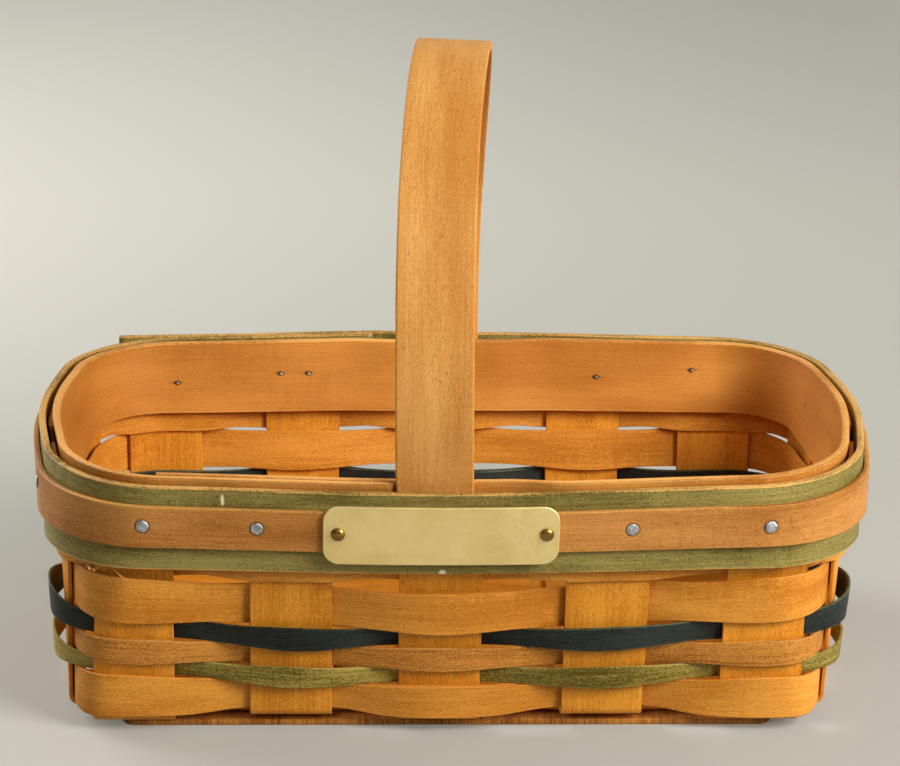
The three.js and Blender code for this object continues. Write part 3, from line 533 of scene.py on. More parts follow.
def weave(t, z, seat_share):
    """How far a weaver stands off the stakes' middle at stake count t, as a share of its bow.

    A cosine from each stake to the next, filled out so that the splint clears the stakes' edges."""
    m = np.floor(t)
    gap = stake_arc(m + 1, z) - stake_arc(m, z)
    wave = np.cos(np.pi * (t - m))
    edge = np.cos(np.pi * STAKE_WIDTH / 2 / gap)
    fill = np.maximum(0, (seat_share / edge - 1) / (1 - edge**2))
    return wave * (1 + fill * (1 - wave**2)) * np.where(m % 2 == 0, 1, -1)


def weaver_rings(front, back, corner, left, side, end, seed, bow=WEAVER_BOW, bulge=0, raised=(0, 0)):
    """Flat strip carried round the wall on the weave's curve, nearly one and an eighth turns.

    Its edges lie at shares of the wall's height that change from front to corner to back, and spread
    where it passes a stake; along its overlap the first layer is inside and the last one outside.
    The lowest row hangs below the stakes' bends outside them and is tucked up inside them."""
    lap = WEAVER_LAP if bow > SEAT else 0
    last = end + 2 * HALF_TURN + (lap or -BUTT_GAP)
    t = np.linspace(end, last, WEAVER_STEPS)[:, None]
    width = WEAVER_ZONE * (front[1] - front[0])
    place, lift, edge = strip_profile(width, WEAVER_THICKNESS, WEAVER_ROUND)
    share = place / width + 0.5
    near_front = np.round(t / HALF_TURN) % 2 == 0
    from_middle = np.abs(t - HALF_TURN * np.round(t / HALF_TURN))
    toward_end = smooth(0.5, 2.5, from_middle)
    middles = (np.where(near_front, front[k], back[k]) for k in (0, 1))
    at_left = t % (2 * HALF_TURN) > HALF_TURN
    ends = (np.where(at_left, left[k], corner[k]) for k in (0, 1))
    low, high = (m + (e - m) * toward_end for m, e in zip(middles, ends))
    level = WEAVER_START + WEAVER_ZONE * (low + (high - low) * share)
    early = 1 - smooth(end + lap + 0.1, end + lap + 0.6, t) if lap else 0 * t
    late = smooth(last - lap - 0.6, last - lap - 0.1, t) if lap else 0 * t
    bow = bow + LAP_SHIFT * np.maximum(early, late)
    standing = side * weave(t, level, (SEAT + LAP_SHIFT * np.maximum(early, late)) / bow)
    grow = WEAVER_SPREAD * np.minimum(1, standing**2) - ROW_GAP / 2 + waver(t * 41, seed, WEAVER_RAGGED)
    loop = smooth(2.3, 3, from_middle) * np.maximum(0, standing) * np.where(at_left, 1, RIGHT_LOOP)
    spread = (2 * share - 1) * grow + loop * (raised[0] + (raised[1] - raised[0]) * share)
    if front[0] < 0:
        tucked = smooth(-0.6, 0.7, -standing) * (TUCK_LEVEL - WEAVER_START - WEAVER_ZONE * low)
        spread = np.where(share < 0.5, (1 - 2 * share) * tucked, spread)
    z = level + spread
    m = np.floor(t)
    arc = stake_arc(m, z) + (stake_arc(m + 1, z) - stake_arc(m, z)) * (t - m)
    swell = bulge * smooth(2, 3, from_middle) * np.maximum(0, standing)
    rings = wall(arc, z, bow * standing + swell + LAP_SHIFT * (late - early) + lift)
    return rings, grain_map(rings, place, lift, seed), edge


weaver_finishes = {
    "natural": splint_material(
        "honey_maple_weaver", dark=(180, 106, 22), light=(230, 157, 62), fleck=(158, 88, 18),
        edge=(214, 140, 54), fibre=0.95),
    "green": splint_material(
        "green_stained_weaver", dark=(88, 72, 14), light=(176, 154, 74), fleck=(66, 52, 8),
        edge=(172, 150, 76), fibre=1.4),
    "tan": splint_material(
        "tan_stained_weaver", dark=(134, 76, 14), light=(206, 138, 58), fleck=(116, 64, 12),
        edge=(196, 136, 62), fibre=1.5),
    "navy": splint_material(
        "navy_stained_weaver", dark=(15, 17, 14), light=(48, 53, 49), fleck=(11, 12, 10),
        edge=(80, 84, 58), fibre=1.1),
}
for number, (row_node, row) in enumerate(ROWS.items()):
    stain_and_ring_shade = row_node.split("_")[2]
    piece = build(row_node + "_splint", weaver_finishes[stain_and_ring_shade], *weaver_rings(**row, seed=number + 11))
    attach(piece, "root")
    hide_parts(row_node)


# Loose fibres: two slivers that have lifted from the top weaver's edge at the left front corner.
# Bare maple, as thin as a bristle, still held by the splint that they come from.
FIBRES = {
    "loose_fibre_long": [(-92.5, 51.4, 2.2), (-90.6, 50.4, 3.4), (-88.9, 49.2, 3.9), (-87.6, 48.2, 3.4)],
    "loose_fibre_curled": [(-99.5, 51.8, 2.0), (-98.2, 50.6, 3.2), (-96.6, 50.2, 3.2), (-95.6, 51.4, 2.4)],
}
FIBRE_WIDTH = 0.22
FIBRE_ROUND = 0.07


def unit(way):
    """Vectors of length 1 along the given ones."""
    return way / np.linalg.norm(way, axis=-1, keepdims=True)


def fibre_rings(path):
    """Flat sliver carried along a cubic through four points of the wall, narrowing to its tip."""
    share = np.linspace(0, 1, 24)
    powers = np.vander(np.linspace(0, 1, 4), 4)
    middle = wall(*np.vander(share, 4).dot(np.linalg.solve(powers, np.array(path))).T)
    along = np.gradient(middle, axis=0)
    across = unit(np.cross(along, [0, -1, 0.3]))
    through = unit(np.cross(along, across))
    place, lift, edge = strip_profile(2 * FIBRE_WIDTH, FIBRE_WIDTH / 2, FIBRE_ROUND, across=3)
    width = (1 - 0.8 * share**2)[:, None, None]
    rings = middle[:, None] + width * (across[:, None] * place[:, None] + through[:, None] * lift[:, None])
    return rings, grain_map(rings, place, lift, 31), edge


fibre_wood = splint_material(
    "frayed_maple", dark=(206, 128, 44), light=(238, 176, 96), fleck=(170, 96, 30),
    edge=(236, 180, 104), fibre=0.5, flecks=0.5, ripple=0.4)
for fibre_name, fibre_path in FIBRES.items():
    piece = build(fibre_name, fibre_wood, *fibre_rings(fibre_path))
    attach(piece, "root")


# Inner rim band: one wide maple splint, steamed and bent inside the stake tops and the handle's
# ends. It starts left on the front and its last length ends outside the first, against the handle.
# Its flat top edge is sanded. Nails from front and back go through it and are clinched on its face.
BAND_HEIGHT = 24.1
BAND_BOTTOM = RIM_HEIGHT - BAND_HEIGHT
BAND_FOOT_FACE = 3
RIM_FACE = 1.01
SIDE_SLACK = 0.65
TRIM_MIDDLE = 65.25
RIM_RISE = 0.56
INNER_HEIGHT = 21.7
INNER_THICKNESS = 2.3
INNER_PROUD = 0.85
INNER_LAYER = 2.6
BAND_ROUND = 0.4
BAND_START = -88
BAND_END = -16
HANDLE_WIDTH = 20.7
HANDLE_THICKNESS = 2.4
HANDLE_EDGE = 14.95
HANDLE_FACE = 0.85
CLEARANCE = 0.3
INNER_FACE_AT_HANDLE = (
    HANDLE_FACE + HANDLE_THICKNESS + CLEARANCE + SIDE_BOW - wall_bow(HANDLE_EDGE, RIM_HEIGHT))
# Rim nails: wall, stake from the wall's middle, share of the stake's width, lift above the trim's middle
WALLS = "front", "right", "back", "left"
RIM_NAILS = [
    (0, -2, 0.165, 0.7), (0, -1, -0.374, 1.1), (0, 1, 0.219, 0.9), (0, 2, -0.08, 0.2),
    (1, -1, 0.05, 0.2), (1, 1, -0.06, 0.5),
    (2, -2, 0.343, 2.5), (2, -1, -0.175, -0.4), (2, 1, -0.064, 0.7), (2, 1, 0.308, 0.9),
    (2, 2, -0.197, -1.2),
    (3, -1, 0.04, 1.1), (3, 1, -0.05, 1.2),
]
# Pricks: where a point only just breaks the inner face of the right end, as stake count and lift
PRICKS = [(0.77, 1.6), (-0.5, 5.1)]
# Stains round a clinched point: a bruise, and a streak along the grain, by strength and reach in mm
BRUISE = 0.75, 1.0
STREAK = 0.5, 0.6
STREAK_SQUEEZE = np.array([0.12, 0.12, 1])
# Strength of the open fibres at the top of the inner band's outer face, and of the dark line of painted
# shade along its top corner
TOP_WEAR_AND_SEAM_SHADE = 0.62
# Where the first length and a handle's bulge end, as shares of the handle's width; extra rows of points
FIRST_LENGTH_ENDS = -0.75, -0.2
BULGE_ENDS = 0.7, 1.6
INNER_ROWS = join(np.arange(-2, 4.3, 0.45), [7.6, 8.2, 8.8, 9.4])
NAIL_ZONE = np.linspace(-0.011, 0.011, 19)
HOOP_STEP = 140


def hoop_arc(place, z):
    """Arc length at a place on a rim hoop: 0 front middle, 1 right, 2 back, 3 left.

    The first and last quarter of each step are the straight walls and the half between is the corner."""
    a, b, r, quarter = section(z)
    turned = np.floor(place)
    share = place - turned
    long_first = turned % 2 == 0
    before = np.where(long_first, a, b) - r
    after = np.where(long_first, b, a) - r
    corner = np.pi / 2 * r * np.clip(2 * share - 0.5, 0, 1)
    first, last = np.minimum(1, 4 * share), np.maximum(0, 4 * share - 3)
    return turned * quarter + before * first + corner + after * last


def hoop_place(turned, distance):
    """Place on a hoop for a distance along a wall from its middle."""
    a, b, r, _ = section(TRIM_MIDDLE)
    return turned + distance / (4 * (np.where(turned % 2 == 0, a, b) - r))


def hoop_stops(start, end, nails=(), step=0.006):
    """Places along a hoop, close enough together for smooth corners, and closer still at its nails."""
    even = np.linspace(start, end, int((end - start) / step))
    close = np.add.outer(np.asarray(nails, float), NAIL_ZONE).ravel()
    return np.unique(join(even, close[(close > start) & (close < end)]))[:, None]


def rim_rise(place):
    """The rim stands a little higher at the two ends."""
    return RIM_RISE * np.sin(np.pi / 2 * place) ** 2


def band_face(place, z):
    """How far the bands' faces stand off the wall: they lean in toward the stakes' tops."""
    rim_face = RIM_FACE + SIDE_SLACK * np.cos(np.pi / 2 * place) ** 2
    share = (z - rim_rise(place) - BAND_BOTTOM) / BAND_HEIGHT
    return BAND_FOOT_FACE + (rim_face - BAND_FOOT_FACE) * share


def inner_face(place, z):
    """How far in the inner band's face lies: inmost at its first length, then round the handle's ends."""
    a, _, r, _ = section(TRIM_MIDDLE)
    beside = (place - 2 * np.round(place / 2)) * 4 * (a - r) / HANDLE_WIDTH
    on_front = np.abs(place) < 1
    first = on_front * (1 - smooth(*FIRST_LENGTH_ENDS, beside))
    at_handle = 1 - smooth(*BULGE_ENDS, np.abs(beside))
    at_handle = np.where(on_front & (beside < 0), 1, at_handle) * (place < 3)
    face = band_face(place, z)
    return face + (INNER_FACE_AT_HANDLE - face) * at_handle * (1 - first) + INNER_LAYER * first


def square_to_rim(arc, z, place):
    """Direction square to the bands' faces: the cross product of the ways along and up."""
    along = wall(arc + 0.5, z, band_face(place, z)) - wall(arc - 0.5, z, band_face(place, z))
    up = wall(arc, z + 0.5, band_face(place, z + 0.5)) - wall(arc, z - 0.5, band_face(place, z - 0.5))
    return unit(np.cross(along, up)), along


nail_wall, nail_stake, nail_offset, nail_lift = np.array(RIM_NAILS).T
nail_height = TRIM_MIDDLE + nail_lift
nail_arc = stake_arc(nail_wall * HALF_TURN / 2 + nail_stake, nail_height) + nail_offset * STAKE_WIDTH
nail_distance = nail_arc - nail_wall * section(nail_height)[3]
nail_place = hoop_place(nail_wall, nail_distance)
nail_point = wall(nail_arc, nail_height, 0)
nail_way, nail_along = square_to_rim(nail_arc, nail_height, nail_place)
nail_slope = np.hypot(nail_way[:, 0], nail_way[:, 1])
nail_clinched = nail_wall % 2 == 0
nail_tip = (inner_face(nail_place, nail_height) + INNER_THICKNESS) * nail_slope
prick_stake, prick_lift = np.array(PRICKS).T
prick_height = TRIM_MIDDLE + prick_lift
prick_place = hoop_place(1, prick_stake * LONG_PITCH)
prick_point = wall(
    section(prick_height)[3] + prick_stake * LONG_PITCH, prick_height,
    -inner_face(prick_place, prick_height) - INNER_THICKNESS)


def nail_marks(rings, centres, reach):
    """1 at each nail's centre, falling off as a bell curve with the distance."""
    gap = np.linalg.norm(rings[:, :, None] - centres, axis=-1).min(-1)
    return np.exp(-((gap / reach) ** 2))


def inner_band_rings():
    """Flat strip round the inside of the wall, with a bulge at each handle end and one overlap."""
    near = join(nail_place, prick_place)
    stops = hoop_stops(hoop_place(0, BAND_START), hoop_place(4, BAND_END), near)
    place, lift, edge = strip_profile(INNER_HEIGHT, INNER_THICKNESS, BAND_ROUND, 10, INNER_ROWS)
    from_front = np.abs(stops - 4 * np.round(stops / 4))
    proud = INNER_PROUD * (1 - smooth(1, 2, from_front))
    top = RIM_HEIGHT + proud + rim_rise(stops)
    z = top - INNER_HEIGHT / 2 + place * (1 + waver(stops * HOOP_STEP, 3, 0.004))
    rings = wall(hoop_arc(stops, z), z, lift - inner_face(stops, z) - INNER_THICKNESS / 2)
    tips = (nail_point - nail_way * nail_tip[:, None])[nail_clinched]
    bruise = nail_marks(rings, join(tips, prick_point), BRUISE[1])
    streak = nail_marks(rings * STREAK_SQUEEZE, tips * STREAK_SQUEEZE, STREAK[1])
    marks = BRUISE[0] * bruise + STREAK[0] * streak
    from_top = INNER_HEIGHT / 2 - place
    top_face = TOP_WEAR_AND_SEAM_SHADE * smooth(-3.2, -1.2, -from_top) * (lift > 0)
    # Painted shade: a dark line along the top outer corner, in the groove between the bands
    seam_shade = TOP_WEAR_AND_SEAM_SHADE * (from_top < 0.35) * (lift > INNER_THICKNESS / 2 - 0.3)
    grain = grain_map(rings, place, lift, 21)
    return rings, grain, np.maximum(edge, top_face), np.maximum(marks, seam_shade)


inner_band_wood = splint_material(
    "honey_maple_band", dark=(174, 104, 34), light=(212, 142, 62), fleck=(160, 90, 22),
    edge=(228, 164, 84), fibre=0.6, flecks=0.3, ripple=0.12)
inner_band = build("inner_rim_band", inner_band_wood, *inner_band_rings())
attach(inner_band, "root")
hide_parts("inner_band")


# Handle: one thick maple splint bent into a hoop across the basket. Its straight ends stand
# between the stakes and the inner band and are nailed there, so it does not swing.
HANDLE_TOP = 182.2
HANDLE_SPRING = 104.7
HANDLE_SHIFT = -4.6
HANDLE_SKEW = 0.027
HANDLE_LEAN = 3.4
HANDLE_TWIST = 2.9
HANDLE_ROLL = 0.045
HANDLE_FOOT = 58.6
HANDLE_ROUND = 0.5


def handle_rings():
    """Flat strip carried up a straight leg, over a half ellipse that meets it, and down the other leg.

    Above the rim it stands askew by the square of the height: shifted, twisted and rolled."""
    def leg_at(z):
        return section(z)[1] + wall_bow(HANDLE_EDGE, z) - HANDLE_FACE - HANDLE_THICKNESS / 2

    slope = (leg_at(RIM_HEIGHT) - leg_at(BAND_BOTTOM)) / BAND_HEIGHT

    def leg_out(z):
        return leg_at(RIM_HEIGHT) + slope * (z - RIM_HEIGHT)

    rise = HANDLE_TOP - HANDLE_THICKNESS / 2 - HANDLE_SPRING
    half = np.sqrt(leg_out(HANDLE_SPRING) ** 2 - (slope * rise) ** 2)
    start = -np.arctan(slope * rise / half)
    leg = np.linspace(HANDLE_FOOT, HANDLE_SPRING + rise * np.sin(start), 30)[:-1]
    arch = np.linspace(start, np.pi - start, 120)
    y = join(-leg_out(leg), -half * np.cos(arch), leg_out(leg)[::-1])[:, None]
    z = join(leg, HANDLE_SPRING + rise * np.sin(arch), leg[::-1])[:, None]
    over = -np.arctan2(half * np.sin(arch), rise * np.cos(arch))
    upright = np.full_like(leg, np.arctan(slope))
    tilt = join(upright, over, np.pi - upright)[:, None]
    place, lift, edge = strip_profile(HANDLE_WIDTH, HANDLE_THICKNESS, HANDLE_ROUND, across=12)
    above = np.maximum(0, (z - RIM_HEIGHT) / (HANDLE_TOP - RIM_HEIGHT)) ** 2
    lean = (HANDLE_LEAN + HANDLE_TWIST * y / leg_out(RIM_HEIGHT)) * above
    middle = HANDLE_SHIFT + WALL_LEAN + HANDLE_SKEW * (y + leg_out(RIM_HEIGHT)) + lean
    across = place * (1 + waver(z, 5, 0.006))
    rolled = z - HANDLE_ROLL * across * above - lift * np.sin(tilt)
    rings = np.stack(np.broadcast_arrays(middle + across, y - lift * np.cos(tilt), rolled), -1)
    return rings, grain_map(rings, place, lift, 22), edge


handle_wood = splint_material(
    "honey_maple_handle", dark=(184, 118, 46), light=(220, 162, 88), fleck=(150, 84, 28),
    edge=(208, 142, 62), fibre=0.8, flecks=0.7, ripple=0.1)
handle = build("bent_handle", handle_wood, *handle_rings())
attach(handle, "root")
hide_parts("handle")


# Outer rim band: a wide green-stained splint round the outside of the stake tops. Its two lengths
# overlap on the back, and the outer one runs on straight past the left rear corner as a free tail.
# The stain is on the faces; the sanded top edge is bare wood, and two small chips show bare wood too.
BAND_THICKNESS = 2
BAND_TAIL = 101.5
BAND_LAP_END = 24
TAIL_DROP = 1.8
TAIL_FROM = 66
LAYER = BAND_THICKNESS + CLEARANCE
LAP_SLOPE = 14.3, 0.6
TAIL_PLACE = hoop_place(2, TAIL_FROM)
LAP_FROM, LAP_FULL = (hoop_place(2, BAND_LAP_END - before) for before in LAP_SLOPE)
# Chips: place along the front, height, half width and half height in mm
CHIPS = np.array([(-61.8, 73.2, 0.55, 1.9), (-2.2, 52.9, 1.0, 0.8)])
CHIP_DEPTH = 0.2
OUTER_ROWS = join(np.arange(-11.4, -9.6, 0.35), np.arange(6.4, 11.4, 0.35))


def outer_lap(place):
    """How far a length on the back stands out over the one below it."""
    return LAYER * smooth(LAP_FROM, LAP_FULL, place)


def outer_band_rings():
    """Flat strip round the outside of the wall, then straight on from the back as the tail."""
    on_wall = hoop_stops(hoop_place(-2, BAND_LAP_END), TAIL_PLACE, hoop_place(0, CHIPS[:, 0]))
    stops = join(on_wall, np.full((23, 1), TAIL_PLACE))
    along_tail = join(0 * on_wall, np.linspace(0, 1, 24)[1:, None])
    place, lift, edge = strip_profile(BAND_HEIGHT, BAND_THICKNESS, BAND_ROUND, 16, OUTER_ROWS)
    z = BAND_BOTTOM + BAND_HEIGHT / 2 + place * (1 + waver(stops * HOOP_STEP, 4, 0.004)) + rim_rise(stops)
    n = band_face(stops, z) + BAND_THICKNESS / 2 + lift + outer_lap(stops)
    arc = hoop_arc(stops, z)
    off = np.hypot(*((np.stack([arc, z], -1)[:, :, None] - CHIPS[:, :2]) / CHIPS[:, 2:]).T).min(0).T
    chip = (1 - smooth(0.6, 1.3, off)) * (lift > 0)
    rings = wall(arc, z, n - CHIP_DEPTH * chip)
    x, y, z = np.moveaxis(rings, -1, 0)
    rings = np.stack([x + (-BAND_TAIL - x) * along_tail, y - TAIL_DROP * along_tail, z], -1)
    return rings, grain_map(rings, place, lift, 23), edge + 2 * chip


outer_band_wood = splint_material(
    "green_stained_band", dark=(88, 74, 20), light=(158, 142, 78), fleck=(66, 54, 12),
    edge=(210, 158, 84), flecks=0.35)
outer_band = build("outer_rim_band", outer_band_wood, *outer_band_rings())
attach(outer_band, "root")
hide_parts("outer_band")


# Trim strip: a narrow tan splint round the middle of the outer band. Its left end is tucked under
# the band's tail and its right end lies over the tail. The rim nails hold it, and their heads sit in
# shallow dents in its face, each ringed with painted shade.
TRIM_WIDTH = 12
TRIM_THICKNESS = 1.6
TRIM_ROUND = 0.35
TRIM_LAYER = TRIM_THICKNESS + CLEARANCE
TRIM_START = -1.6
TRIM_END = 60
NAIL_HEAD = 3.5
NAIL_DENT = 0.35
DENT_REACH = 0.62 * NAIL_HEAD
# Strength of the dark ring of painted shade round each nail head on the trim
NAIL_RING_SHADE = 0.7
nail_layers = np.where((nail_wall == 2) & (nail_distance > BAND_LAP_END), LAYER, 0)
nail_layers = nail_layers + np.where((nail_wall != 2) | (nail_distance < TRIM_END), TRIM_LAYER, 0)
nail_seat = (band_face(nail_place, nail_height) + BAND_THICKNESS + nail_layers) * nail_slope


def trim_rings():
    """Flat strip round the outer band, stepping out over the band's overlap on the back.

    Each nail presses its outer face in, as a bell curve of the distance from the nail, and a ring of
    painted shade darkens the wood round its head."""
    near = join(nail_place, nail_place - 4)
    stops = hoop_stops(TRIM_START, hoop_place(2, TRIM_END), near, step=0.004)
    place, lift, edge = strip_profile(TRIM_WIDTH, TRIM_THICKNESS, TRIM_ROUND, across=34)
    z = TRIM_MIDDLE + place * (1 + waver(stops * HOOP_STEP, 6, 0.008)) + rim_rise(stops)
    n = band_face(stops, z) + LAYER + TRIM_THICKNESS / 2 + lift + outer_lap(stops)
    arc = hoop_arc(stops, z)
    marks = nail_marks(wall(arc, z, n), nail_point + nail_way * nail_seat[:, None], DENT_REACH)
    rings = wall(arc, z, n - NAIL_DENT * marks * (lift > 0))
    # Painted shade: a dark ring round each nail head, passed on as the mark attribute
    stain_and_ring_shade = NAIL_RING_SHADE * smooth(0.3, 0.42, marks) * (lift > 0)
    return rings, grain_map(rings, place, lift, 24), edge, stain_and_ring_shade


trim_wood = splint_material(
    "tan_stained_trim", dark=(148, 88, 26), light=(200, 138, 70), fleck=(124, 70, 20),
    edge=(198, 142, 72), fibre=0.9, flecks=0.35)
trim_strip = build("tan_trim_strip", trim_wood, *trim_rings())
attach(trim_strip, "root")
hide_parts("trim_strip")


# Plate and pins: a small bare brass plate, bent to the front's curve, with rounded corners and a
# softly rounded edge, held over the trim by two brass pins with domed heads.
PLATE_SIZE = (63, 17.2)
PLATE_SHIFT = -2.9
PLATE_THICKNESS = 0.8
PLATE_CORNER = 4.5
PLATE_ROUND = 0.3
PLATE_DROP = 0.4
PIN_SPACING = 54.7
PIN_SHIFT = 0.35
PIN_RISE = 0.9
PIN_HEAD = 1.9
PIN_DOME = 1.1
PIN_SHANK = 0.65


def plate_rings():
    """Plate's outline carried out from the trim's face up the profile of its edge."""
    insets, heights = rounded_edge(PLATE_THICKNESS, PLATE_ROUND, steps=6)
    outline = np.stack([rounded_outline(PLATE_SIZE, PLATE_CORNER, x, 9, between=26) for x in insets])
    arc = PLATE_SHIFT + outline[..., 0]
    z = TRIM_MIDDLE - PLATE_DROP + outline[..., 1]
    n = band_face(hoop_place(0, arc), z) + LAYER + TRIM_LAYER + heights[:, None]
    return wall(arc, z, n), outline


def metal_material(name, dark, light, rough, marks, scale):
    """Bare metal: two tones in soft clouds, fine scratches in its roughness, and faint dents."""
    material, tree, shader = new_material(name)
    place = node(tree, "TexCoord").outputs["Object"]
    cloud = node(tree, "TexNoise", {"Vector": place, "Scale": scale, "Detail": 3.0}).outputs[0]
    fine = node(tree, "TexNoise", {"Vector": place, "Scale": scale * 9, "Detail": 4.0}).outputs[0]
    colour = blend(tree, ramp(tree, cloud, 0.3, 0.7), srgb(*dark), srgb(*light))
    bump = node(tree, "Bump", {"Height": fine, "Strength": marks, "Distance": 0.0002})
    put(tree, shader, {
        "Base Color": colour, "Roughness": ramp(tree, fine, 0.3, 0.7, rough - 0.06, rough + 0.08),
        "Metallic": 1.0, "Normal": bump.outputs[0]})
    return material


plate_brass = metal_material(
    "satin_brass", dark=(236, 210, 142), light=(246, 224, 160), rough=0.58, marks=0.06, scale=90)
plate_surface, plate_map = plate_rings()
plate = build("bare_brass_plate", plate_brass, plate_surface, close_seam(plate_map))
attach(plate, "root")
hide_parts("plate")


def tube_rings(centres, first, second, radius, around=24, dents=0.0):
    """Rings of a turned piece: circles of the given radii about the centres, in two given directions."""
    turn = np.linspace(0, 2 * np.pi, around, endpoint=False)
    uneven = 1 + dents * (np.sin(3 * turn + 1) + 0.6 * np.sin(5 * turn))
    circle = radius[:, None, None] * uneven[:, None]
    return centres[:, None] + circle * (np.cos(turn)[:, None] * first + np.sin(turn)[:, None] * second)


pin_brass = metal_material(
    "dark_brass", dark=(128, 98, 46), light=(168, 134, 70), rough=0.3, marks=0.1, scale=300)
for pin_node, end in {"plate_pin_left": -1, "plate_pin_right": 1}.items():
    pin_arc = PLATE_SHIFT + PIN_SHIFT + end * PIN_SPACING / 2
    pin_height = TRIM_MIDDLE + PIN_RISE
    pin_place = hoop_place(0, pin_arc)
    pin_way, pin_along = square_to_rim(pin_arc, pin_height, pin_place)
    pin_first = unit(pin_along)
    face = band_face(pin_place, pin_height)
    seat = (face + LAYER + TRIM_LAYER + PLATE_THICKNESS) * np.hypot(pin_way[0], pin_way[1])
    turn = np.linspace(0, np.pi / 2, 10)
    dome = seat + 0.1 + PIN_DOME * np.sin(turn)
    out = join([face - 1, face + 0.5, seat - 0.05, seat - 0.02], dome)
    shank = [0.05, PIN_SHANK, PIN_SHANK, PIN_HEAD - 0.1]
    radius = join(shank, PIN_HEAD * np.cos(turn) + 0.02)
    centres = wall(pin_arc, pin_height, 0) + pin_way * out[:, None]
    rings = tube_rings(centres, pin_first, np.cross(pin_way, pin_first), radius)
    piece = build(pin_node + "_dome", pin_brass, rings, close_seam(rings[..., :2]))
    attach(piece, "root")
    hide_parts(pin_node)


# Nails: small steel nails with low hammered heads. The rim nails are driven from outside through
# trim, band and stake. On the front and back their points are bent over on the inner band; at the ends
# they stop inside it. The handle's two nails are driven from inside and end in the outer band.
NAIL_SHANK = 1.5
NAIL_BEND = 0.25
NAIL_TURN = 1.4
NAIL_DROOP = 0.3
BLIND_DEPTH = 2.2
HANDLE_NAIL_SUNK = 0.1
HANDLE_NAIL_SHORT = 0.8
nail_steel = metal_material(
    "dull_steel", dark=(150, 150, 150), light=(208, 210, 212), rough=0.46, marks=0.5, scale=900)


def nail_rings(point, way, along, seat, tip, clinch):
    """Turned profile of head and shank along the nail, then a cone or, if clinched, a bend and a point.

    The bend is an arc of radius NAIL_BEND through the angle NAIL_TURN, and the point runs straight on."""
    first = unit(along - way * np.dot(along, way))
    head_out = seat + np.array([0.56, 0.55, 0.5, 0.4, 0.26, 0.08, -0.05])
    head_radius = NAIL_HEAD / 2 * np.array([0.02, 0.35, 0.68, 0.9, 1, 0.96, 0.5])
    if clinch:
        angle = join(np.linspace(0, NAIL_TURN, 7)[1:], np.full(5, NAIL_TURN))
        reach = join(np.zeros(6), np.linspace(0.15, 0.7, 5))
        run = NAIL_BEND * (1 - np.cos(angle)) + reach * np.sin(NAIL_TURN)
        drop = NAIL_BEND * np.sin(angle) + reach * np.cos(NAIL_TURN)
        taper = [np.linspace(1, 0.55, 6), np.linspace(0.5, 0.4, 6), np.linspace(0.38, 0.08, 5)]
    else:
        angle, run = np.zeros((2, 4))
        drop = np.linspace(0.1, 1.2, 4)
        taper = [np.ones(6), np.linspace(1, 0.1, 4)]
    out = join(head_out, np.linspace(seat - 0.1, -tip, 6), -tip - drop)
    angle, run = (np.pad(x, (len(out) - len(x), 0))[:, None] for x in (angle, run))
    radius = join(head_radius, NAIL_SHANK / 2 * np.concatenate(taper))
    across = np.cos(angle) * first + np.sin(angle) * way
    centres = point + way * out[:, None] + first * run
    return tube_rings(centres, across[:, None], np.cross(way, first), radius, around=20, dents=0.03)


nail_forms = {}
for number, turned in enumerate(nail_wall.astype(int)):
    clinched = nail_clinched[number]
    sideways = nail_along[number] * (-1 if turned >= 2 else 1) + [0, 0, -NAIL_DROOP]
    tip = nail_tip[number] - (0 if clinched else BLIND_DEPTH)
    nail_forms[f"rim_nail_{WALLS[turned]}_{number}"] = (
        nail_point[number], nail_way[number], sideways, nail_seat[number] - NAIL_DENT, tip, clinched)
_, half_width, _, quarter = section(TRIM_MIDDLE)
back_shift = HANDLE_SHIFT + 2 * HANDLE_SKEW * (half_width + SIDE_BOW)
handle_nails = {"handle_nail_front": HANDLE_SHIFT, "handle_nail_back": 2 * quarter - back_shift}
for nail_node, arc in handle_nails.items():
    way, along = square_to_rim(arc, TRIM_MIDDLE, 0)
    slope = np.hypot(way[0], way[1])
    seat = (INNER_FACE_AT_HANDLE + INNER_THICKNESS) * slope - HANDLE_NAIL_SUNK
    tip = band_face(0, TRIM_MIDDLE) * slope - HANDLE_NAIL_SHORT
    nail_forms[nail_node] = (wall(arc, TRIM_MIDDLE, 0), -way, along, seat, tip, False)
for nail_node, form in nail_forms.items():
    rings = nail_rings(*form)
    piece = build(nail_node + "_steel", nail_steel, rings, close_seam(rings[..., [0, 2]]))
    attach(piece, "root")
    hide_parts(nail_node)


# Floor and backdrop: one pale sheet of paper that sweeps up behind the basket.
# Painted light: what the camera and reflections see of it glows a little, more on the left, less at the
# basket and where the key lamp lights it.
SWEEP_FRONT = -2.5
SWEEP_BEND = 1.1
SWEEP_RADIUS = 0.7
SWEEP_TOP = 3.2
SWEEP_SIDES = np.array([-3, 3])
PAPER_COLOUR = 152, 149, 139
PAPER_PAINTED_GLOW = 1, 0.985, 0.88, 1
PAPER_BRIGHT = 0.5, -0.38, 0


def sweep_points():
    """Floor that curves up into a backdrop: a straight, a quarter circle and a straight, drawn sideways."""
    turn = np.linspace(0, np.pi / 2, 40)
    y = join([SWEEP_FRONT], SWEEP_BEND + SWEEP_RADIUS * np.sin(turn), [SWEEP_BEND + SWEEP_RADIUS])
    z = join([0], SWEEP_RADIUS - SWEEP_RADIUS * np.cos(turn), [SWEEP_TOP])
    return np.stack(np.broadcast_arrays(SWEEP_SIDES, y[:, None], z[:, None]), -1).reshape(-1, 3)


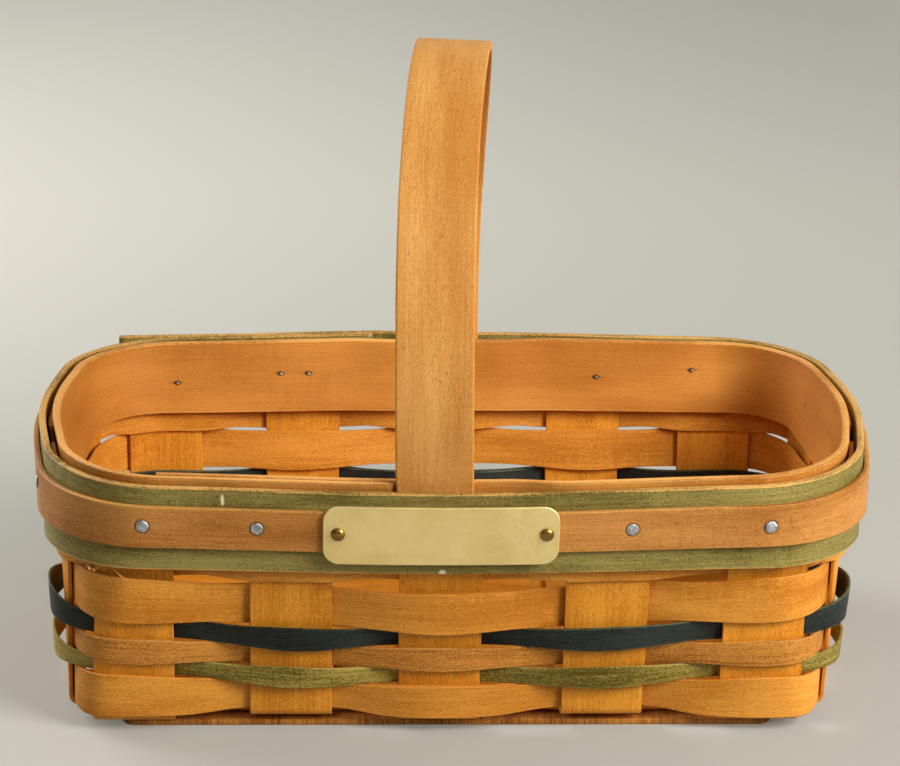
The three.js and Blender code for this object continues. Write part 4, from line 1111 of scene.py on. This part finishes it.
def paper_painted_glow(tree):
    """Painted light on the paper, seen by camera, glossy and transmission rays: it grows away from the
    basket and from the lit patch, and is stronger on the left.
    """
    place = node(tree, "TexCoord").outputs["Object"]
    across = node(tree, "SeparateXYZ", {0: place}).outputs[0]
    from_basket = node(tree, "VectorMath", {0: place}, operation="LENGTH").outputs["Value"]
    from_lit = node(tree, "VectorMath", {0: place, 1: PAPER_BRIGHT}, operation="DISTANCE").outputs["Value"]
    far = ramp(tree, from_basket, 0.0, 0.6, 0.4, 1.0)
    far = maths(tree, "MULTIPLY", far, ramp(tree, from_lit, 0.05, 0.5))
    left, right = ramp(tree, across, -0.3, 0.3, 0.36, 0.25), ramp(tree, across, 0.25, 0.8, 0.0, 0.3)
    ray = node(tree, "LightPath").outputs
    seen = maths(tree, "ADD", ray["Is Camera Ray"], ray["Is Glossy Ray"])
    seen = maths(tree, "ADD", seen, ray["Is Transmission Ray"], clamp=True)
    return maths(tree, "MULTIPLY", maths(tree, "MULTIPLY", far, maths(tree, "ADD", left, right)), seen)


sweep_grid = sweep_points()
sweep_faces = [(i, i + 1, i + 3, i + 2) for i in range(0, len(sweep_grid) - 2, 2)]
sweep_mesh = bpy.data.meshes.new("paper_sweep")
sweep_mesh.from_pydata(sweep_grid.tolist(), [], sweep_faces)
sweep_mesh.polygons.foreach_set("use_smooth", np.ones(len(sweep_faces), bool))
sweep = bpy.data.objects.new("paper_sweep", sweep_mesh)
scene.collection.objects.link(sweep)
paper, paper_tree, paper_shader = new_material("pale_paper")
put(paper_tree, paper_shader, {
    "Base Color": srgb(*PAPER_COLOUR), "Roughness": 0.8, "Emission Color": PAPER_PAINTED_GLOW,
    "Emission Strength": paper_painted_glow(paper_tree)})
sweep_mesh.materials.append(paper)


# Light: a large soft lamp from the right front, a wider one from behind on the left, a weak fill
# from the front, and an even, slightly warm sky.
LAMP_AIM = Vector((0, 0, 0.08))
SKY_COLOUR = 1, 0.95, 0.84, 1
SKY_STRENGTH = 0.18


def soft_lamp(name, place, size, power):
    """Square area lamp at a place in metres, facing the basket."""
    lamp = bpy.data.lights.new(name, "AREA")
    lamp.size = size
    lamp.energy = power
    holder = bpy.data.objects.new(name, lamp)
    scene.collection.objects.link(holder)
    turn = (Vector(place) - LAMP_AIM).to_track_quat("Z", "Y")
    holder.matrix_world = Matrix.Translation(place) @ turn.to_matrix().to_4x4()
    holder.visible_camera = False


soft_lamp("key_lamp", (0.6, -0.45, 0.5), 0.4, 11)
soft_lamp("back_lamp", (-0.8, 0.5, 0.55), 0.7, 11)
soft_lamp("fill_lamp", (-0.3, -1.2, 1.0), 0.8, 1.5)
sky = bpy.data.worlds.new("even_sky")
sky.use_nodes = True
put(sky.node_tree, sky.node_tree.nodes["Background"], {"Color": SKY_COLOUR, "Strength": SKY_STRENGTH})
scene.world = sky


# Camera: the photograph's view, a long lens from the front and above.
CAMERA_PLACE = (-0.006881, -0.731911, 0.326638)
CAMERA_YAW, CAMERA_PITCH, CAMERA_ROLL = 0.011, 0.321, 0.003
SENSOR_WIDTH = 36
CAMERA_LENS = 2675.777 * SENSOR_WIDTH / 900
camera_data = bpy.data.cameras.new("photo_view")
camera_data.sensor_width = SENSOR_WIDTH
camera_data.lens = CAMERA_LENS
camera_data.clip_start = 0.05
camera_data.clip_end = 20
camera = bpy.data.objects.new("photo_view", camera_data)
scene.collection.objects.link(camera)
view_turn = Matrix.Rotation(np.pi / 2 - CAMERA_PITCH, 4, "X") @ Matrix.Rotation(CAMERA_ROLL, 4, "Z")
camera.matrix_world = Matrix.Translation(CAMERA_PLACE) @ Matrix.Rotation(-CAMERA_YAW, 4, "Z") @ view_turn
scene.camera = camera
